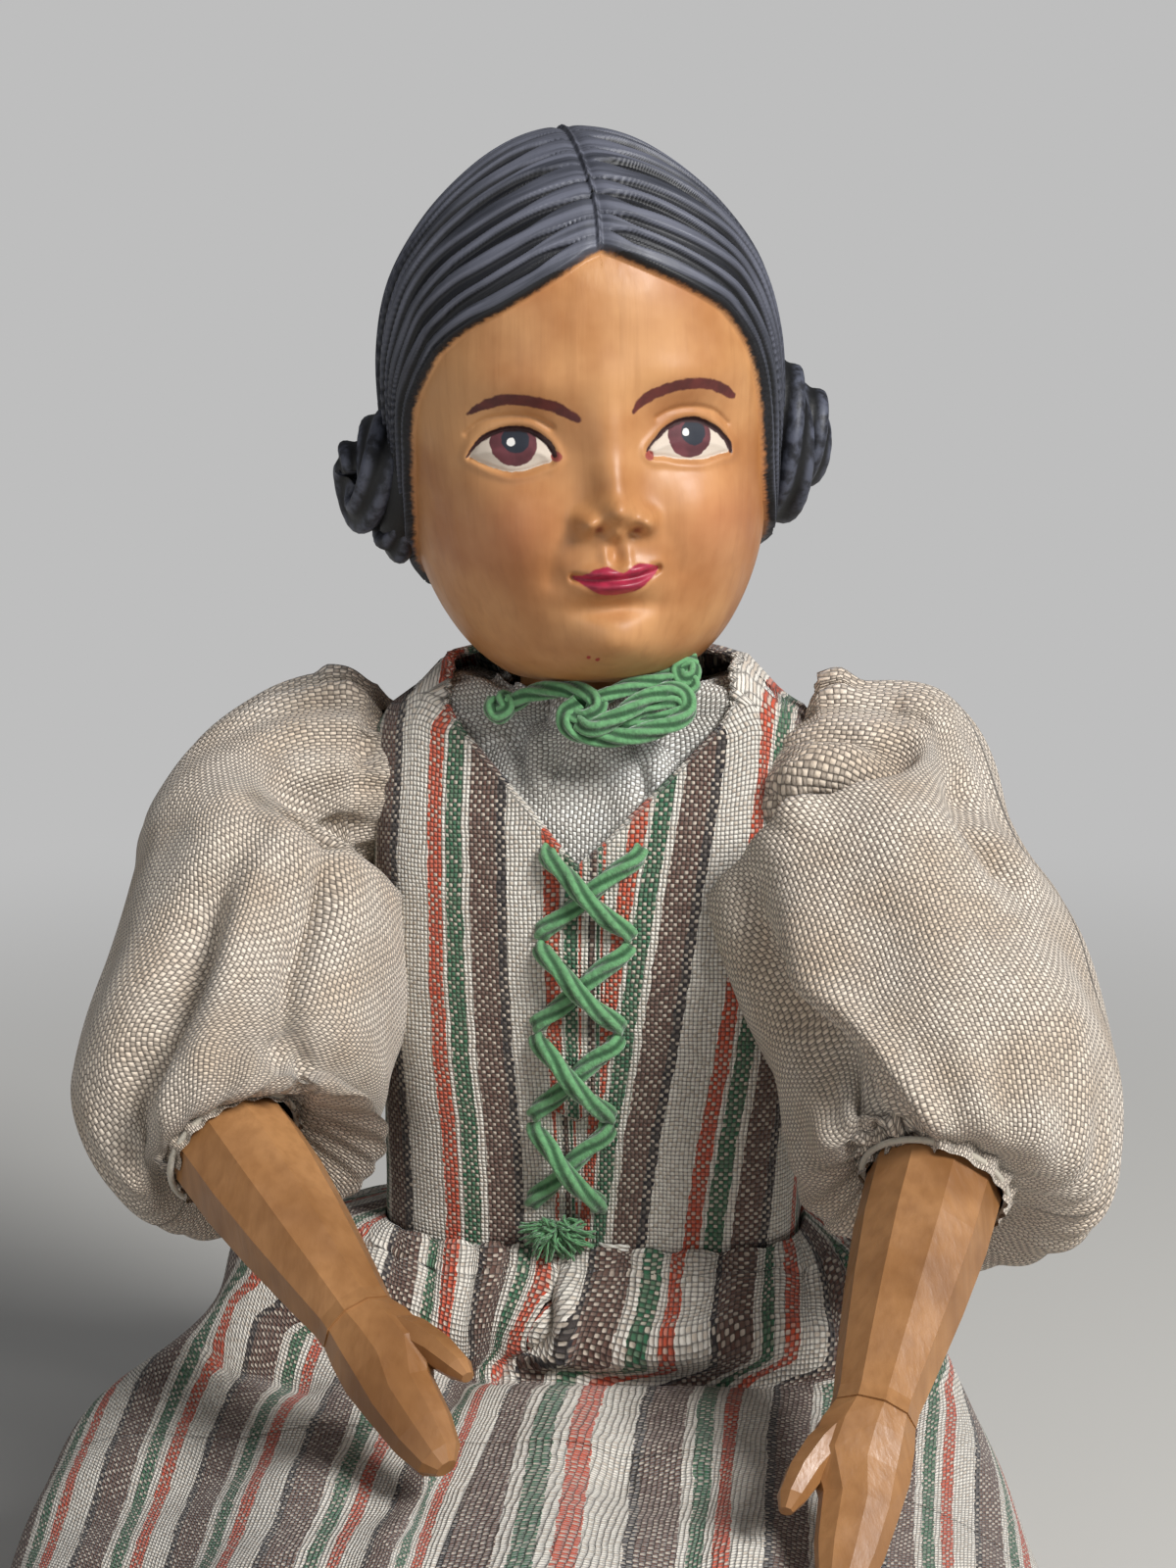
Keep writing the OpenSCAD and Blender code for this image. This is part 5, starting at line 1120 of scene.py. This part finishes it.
def build_skirt(name, side):
    n, m, width = 220, 240, 0.11
    u, v = np.linspace(0, 1, n), np.linspace(0, 1, m)
    grid = curve(np.stack([curve(row, u) for row in skirt_net(side)]), v)
    U, V = np.meshgrid(u, v)
    arc, down = travel(grid, 1), travel(grid)
    loose = ease(U * 8) * ease((0.9 - U) * 6)
    gather = 0.55 * np.sin(arc * 2 * math.pi / 4.2 + 1.5 * np.sin(arc / 5))
    gather = gather * np.exp(-V / 0.1) * ease(V * 40 + 0.3)
    folds = 1.1 * np.sin(2 * math.pi * 4.5 * U + 1.2 * np.sin(5 * V)) * ease(V * 6) * (1 - 0.4 * V)
    rise = (gather + folds + 0.5 * rough(grid, 22, 5 + side)) * loose
    grid[..., 2] += np.where(V < 0.06, 0, rise)
    grid[..., 1] -= np.where(grid[..., 1] < 0, gather, -gather) * loose
    grid[..., 2] = np.maximum(grid[..., 2], 0.3)
    grid[..., 0] = np.maximum(grid[..., 0] - 0.15 * np.exp(-grid[..., 0]), 0)
    # The stripes shift where the cloth is gathered and spread over the lap
    across = side * arc / (1 + 0.0008 * np.clip(-grid[..., 1] - 22, 0, 90))
    drift = (5.2 if side > 0 else 3.4) * ease((V - 0.24) / 0.09) - 2 * ease((-grid[..., 1] - 26) / 50)
    if side < 0:
        drift = drift - 0.8 * ease((V - 0.2) / 0.1)
    weave = np.stack([across, down, (across + drift + (13.6 if side > 0 else 14.4)) / SKIRT_REPEAT], -1)
    grid = grid * [side, 1, 1]
    # The opening below the waist curves to the doll's right
    bend = -2.2 - 3.6 * ease((V - 0.04) / 0.25)
    grid[..., 0] += bend * bell(grid[..., 0] / 9)
    if side > 0:
        grid, weave = grid[:, ::-1], weave[:, ::-1]
    out = normals(grid, False)
    out = out * np.sign((out @ [0, -0.5, 1.0]) + 1e-6)[..., None]
    grid = sculpt(grid, out, SKIRT_FOLDS)
    half = int(m * 0.55)
    thigh, leg = "thigh_" + name, "lower_leg_" + name
    for part, rows, held, a, b, start, end in (
            ("upper", slice(half + 1), "gathered", "torso", thigh, (0, -0.012, 0.03), (0, -0.03, 0.02)),
            ("lower", slice(half, None), "draped", thigh, leg, (0, -0.062, 0.0125), (0, -0.08, 0.0125))):
        g = grid[rows]
        obj = shell("skirt_%s_%s" % (name, part), g, -0.8, False, skirt_cloth, {"weave": weave[rows]})
        if part == "upper":
            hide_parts("skirt_" + name)
        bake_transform(obj)


build_skirt("left", 1)
build_skirt("right", -1)

# Yarn

def lace_x(z, share):
    """Place across of the lacing at a height: share -1 and 1 are its two edges."""
    t = (87 - z) / (87 - WAIST_Z)
    return (1.7 - 3.4 * t) + share * (4.8 - 1.4 * t)


def lacing():
    """Crossed yarn down the front: of the two in each row, one passes over the other."""
    top, rows = TORSO_H - 12, 4
    step = (top - WAIST_Z - 4) / rows

    def at(z, share, out):
        x = lace_x(z, share)
        return [x, dress_y(x, z, DRESS_OUT) - 1.35 - out, z]
    tubes = []
    for k in range(rows):
        high, low = top - k * step - 0.6, top - (k + 1) * step + 1.8
        mid = (high + low) / 2
        for side, lift in ((-1, 1.9), (1, 0.0)):
            path = [
                at(high + 0.9, side, -1.6), at(high, side, 0),
                at(mix(mid, high, 0.55), side * 0.5, lift * 0.6), at(mid, 0, lift),
                at(mix(mid, low, 0.55), -side * 0.5, lift * 0.6), at(low, -side, 0),
                at(low - 0.9, -side, -1.6),
            ]
            tubes.append(rope(path, 1.02, 4, 5.6, 26, 12, 0.17, phase=k))
    return tubes


def tuft():
    """Frayed tuft where the lacing ends."""
    z = WAIST_Z + 2.4
    x = lace_x(z, 0) - 0.6
    root = np.array([x, float(dress_y(x, z, DRESS_OUT)) - 1.2, z])
    tubes = []
    for k in range(150):
        a = rng.uniform(-2.9, 2.9)
        r = rng.uniform(2.0, 4.6) * (1.0 if abs(a) < 1.9 else 0.8)
        lift = rng.uniform(0.2, 2.2)
        end = root + [r * 0.98 * math.sin(a), 0.5 - lift, -r * 0.72 * math.cos(a) - 0.3]
        start = root + [rng.uniform(-0.7, 0.7), 0.3, rng.uniform(-0.4, 0.8)]
        mid = (start + end) / 2 + [rng.uniform(-0.6, 0.6), -rng.uniform(0.5, 1.5), rng.uniform(0, 0.7)]
        tubes.append(rope([start, mid, end], rng.uniform(0.13, 0.22), 2, 1.5, 6, 6, 0.2, phase=k))
    return tubes


# Yarn tied across the collar, a knot at each end and a bow with one long loop: radius in mm, and places
# in the picture with how far they lie in front of the doll's middle
NECK_CORD = [
    (0.95, [
        (506, 714, 12), (502, 722, 12.5), (509, 730, 13), (518, 722, 13), (513, 713, 12.5),
        (524, 717, 12.5), (540, 708, 13), (562, 704, 13.8), (585, 704, 14.4), (606, 711, 15.4),
        (610, 722, 16), (596, 732, 16), (582, 727, 15.2), (588, 716, 14.6), (604, 716, 14),
    ]),
    (1.02, [
        (590, 716, 15), (578, 728, 15.4), (581, 742, 15.8), (600, 751, 16), (636, 752, 16),
        (664, 746, 15.4), (688, 737, 14.4), (702, 724, 13.4), (698, 710, 13), (684, 705, 13.4),
        (664, 711, 14.6), (646, 721, 15.6), (627, 733, 16.4), (606, 742, 17), (592, 738, 16),
    ]),
    (0.9, [
        (604, 728, 15.4), (612, 714, 15.4), (636, 703, 14.6), (655, 698, 13.6), (673, 694, 12.6),
        (690, 688, 11.6), (704, 680, 11), (706, 690, 11.6), (696, 694, 12), (690, 684, 11.6),
        (698, 676, 11), (710, 676, 10.4),
    ]),
    (0.85, [
        (606, 742, 15), (636, 732, 15), (664, 720, 14.4), (688, 714, 13.4), (696, 721, 13.2),
        (684, 730, 13.6), (660, 738, 14.4), (632, 744, 15),
    ]),
    (0.8, [
        (700, 692, 11.6), (708, 698, 12), (699, 706, 12.2), (690, 702, 12),
    ]),
]


def neck_cord():
    tubes = []
    for radius, line in NECK_CORD:
        path = [spot_at(x, y, -far) for x, y, far in line]
        tubes.append(rope(path, radius, 4, 4.4, 28, 12, 0.2, phase=radius * 9))
    return tubes


def stitch(x1, x2, z1, z2, radius, lift):
    xs, zs, t = np.linspace(x1, x2, 5), np.linspace(z1, z2, 5), np.linspace(0, math.pi, 5)
    ys = dress_y(xs, np.maximum(zs, WAIST_Z - 1), DRESS_OUT) - 0.55 - lift * np.sin(t)
    ys[[0, -1]] += 0.9
    return rope(np.stack([xs, ys, zs], -1), radius, 2, 1.3, 8, 6, 0.2)


def stitches():
    """White stitches at the waist."""
    tubes = [
        stitch(-14.6, -11.9, 42.2, 41.7, 0.34, 0.8), stitch(-13.2, -10.2, 41.5, 41.9, 0.32, 0.9),
        stitch(-12.6, -9.9, 42.4, 41.0, 0.3, 0.7),
    ]
    x = 1.6
    while x < 23:
        length = rng.uniform(3.0, 5.4)
        z = 42.1 - 0.035 * (x - 1.6) + rng.uniform(-0.1, 0.1)
        tubes.append(stitch(x, x + length, z, z + rng.uniform(-0.25, 0.15), 0.27, 0.4))
        if x < 8:
            tubes.append(stitch(x + 0.3, x + length, z + 0.55, z + 0.4, 0.24, 0.55))
        x += length + rng.uniform(0.1, 0.5)
    return tubes


make_yarn("lacing_look", lacing(), "lacing", green_yarn)
make_yarn("lacing_tuft_look", tuft(), "lacing_tuft", green_yarn)
make_yarn("neck_cord_look", neck_cord(), "neck_cord", green_yarn)
make_yarn("stitches_look", stitches(), "waist_stitches", white_thread)

# Plain CAD pieces keep their solids and get their finish
for name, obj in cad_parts.items():
    if "peg" in name or "_pin_" in name:
        look = dowel
    elif "thread" in name:
        look = white_thread
    elif "leg" in name or "thigh" in name:
        look = boot_wood
    else:
        look = limb
    obj.data.materials.clear()
    obj.data.materials.append(look)


def camera():
    data = bpy.data.cameras.new("camera")
    data.sensor_fit = "VERTICAL"
    data.sensor_height = 24
    data.lens = data.sensor_height * LENS / PICTURE_H
    data.clip_start = 0.01
    eye = bpy.data.objects.new("camera", data)
    bpy.context.collection.objects.link(eye)
    eye.location = CAMERA_SPOT / 1000
    eye.rotation_euler = Vector(-VIEW_BACK).to_track_quat("-Z", "Y").to_euler()
    bpy.context.scene.camera = eye


def lamp(name, place, aim, size, power):
    data = bpy.data.lights.new(name, "AREA")
    data.shape = "DISK"
    data.size = size
    data.energy = power
    obj = bpy.data.objects.new(name, data)
    bpy.context.collection.objects.link(obj)
    obj.location = place
    obj.rotation_euler = (Vector(aim) - Vector(place)).to_track_quat("-Z", "Y").to_euler()


def stage():
    mesh = bpy.data.meshes.new("floor")
    mesh.from_pydata([(-3, -3, 0), (3, -3, 0), (3, 3, 0), (-3, 3, 0)], [], [(0, 1, 2, 3)])
    floor = bpy.data.objects.new("floor", mesh)
    bpy.context.collection.objects.link(floor)
    s = Shader("floor")
    x, y, _ = s.split(s.place())
    far = s.math("SQRT", s.plus(s.times(x, x), s.times(y, y)))
    glow = s.range(far, 0.12, 0.5)
    s.main.inputs["Specular IOR Level"].default_value = 0
    s.put(s.main.inputs["Emission Color"], BACKDROP)
    s.put(s.main.inputs["Emission Strength"], glow)
    mesh.materials.append(s.done(s.mix(glow, rgb(205, 203, 198), (0, 0, 0, 1)), 0.95))
    world = bpy.data.worlds.new("studio")
    world.use_nodes = True
    tree = world.node_tree
    lit = tree.nodes["Background"]
    lit.inputs[0].default_value = (0.82, 0.84, 0.88, 1)
    lit.inputs[1].default_value = 0.2
    shown = tree.nodes.new("ShaderNodeBackground")
    shown.inputs[0].default_value = BACKDROP
    path = tree.nodes.new("ShaderNodeLightPath")
    both = tree.nodes.new("ShaderNodeMixShader")
    tree.links.new(path.outputs["Is Camera Ray"], both.inputs[0])
    tree.links.new(lit.outputs[0], both.inputs[1])
    tree.links.new(shown.outputs[0], both.inputs[2])
    tree.links.new(both.outputs[0], tree.nodes["World Output"].inputs[0])
    bpy.context.scene.world = world
    bpy.context.scene.view_settings.view_transform = "Standard"


BACKDROP = rgb(190, 190, 190)
camera()
stage()
lamp("key", (0.62, -0.5, 0.66), (0, 0, 0.09), 0.34, 11.5)
lamp("fill", (-0.45, -1, 0.2), (0, 0, 0.09), 0.8, 1.9)
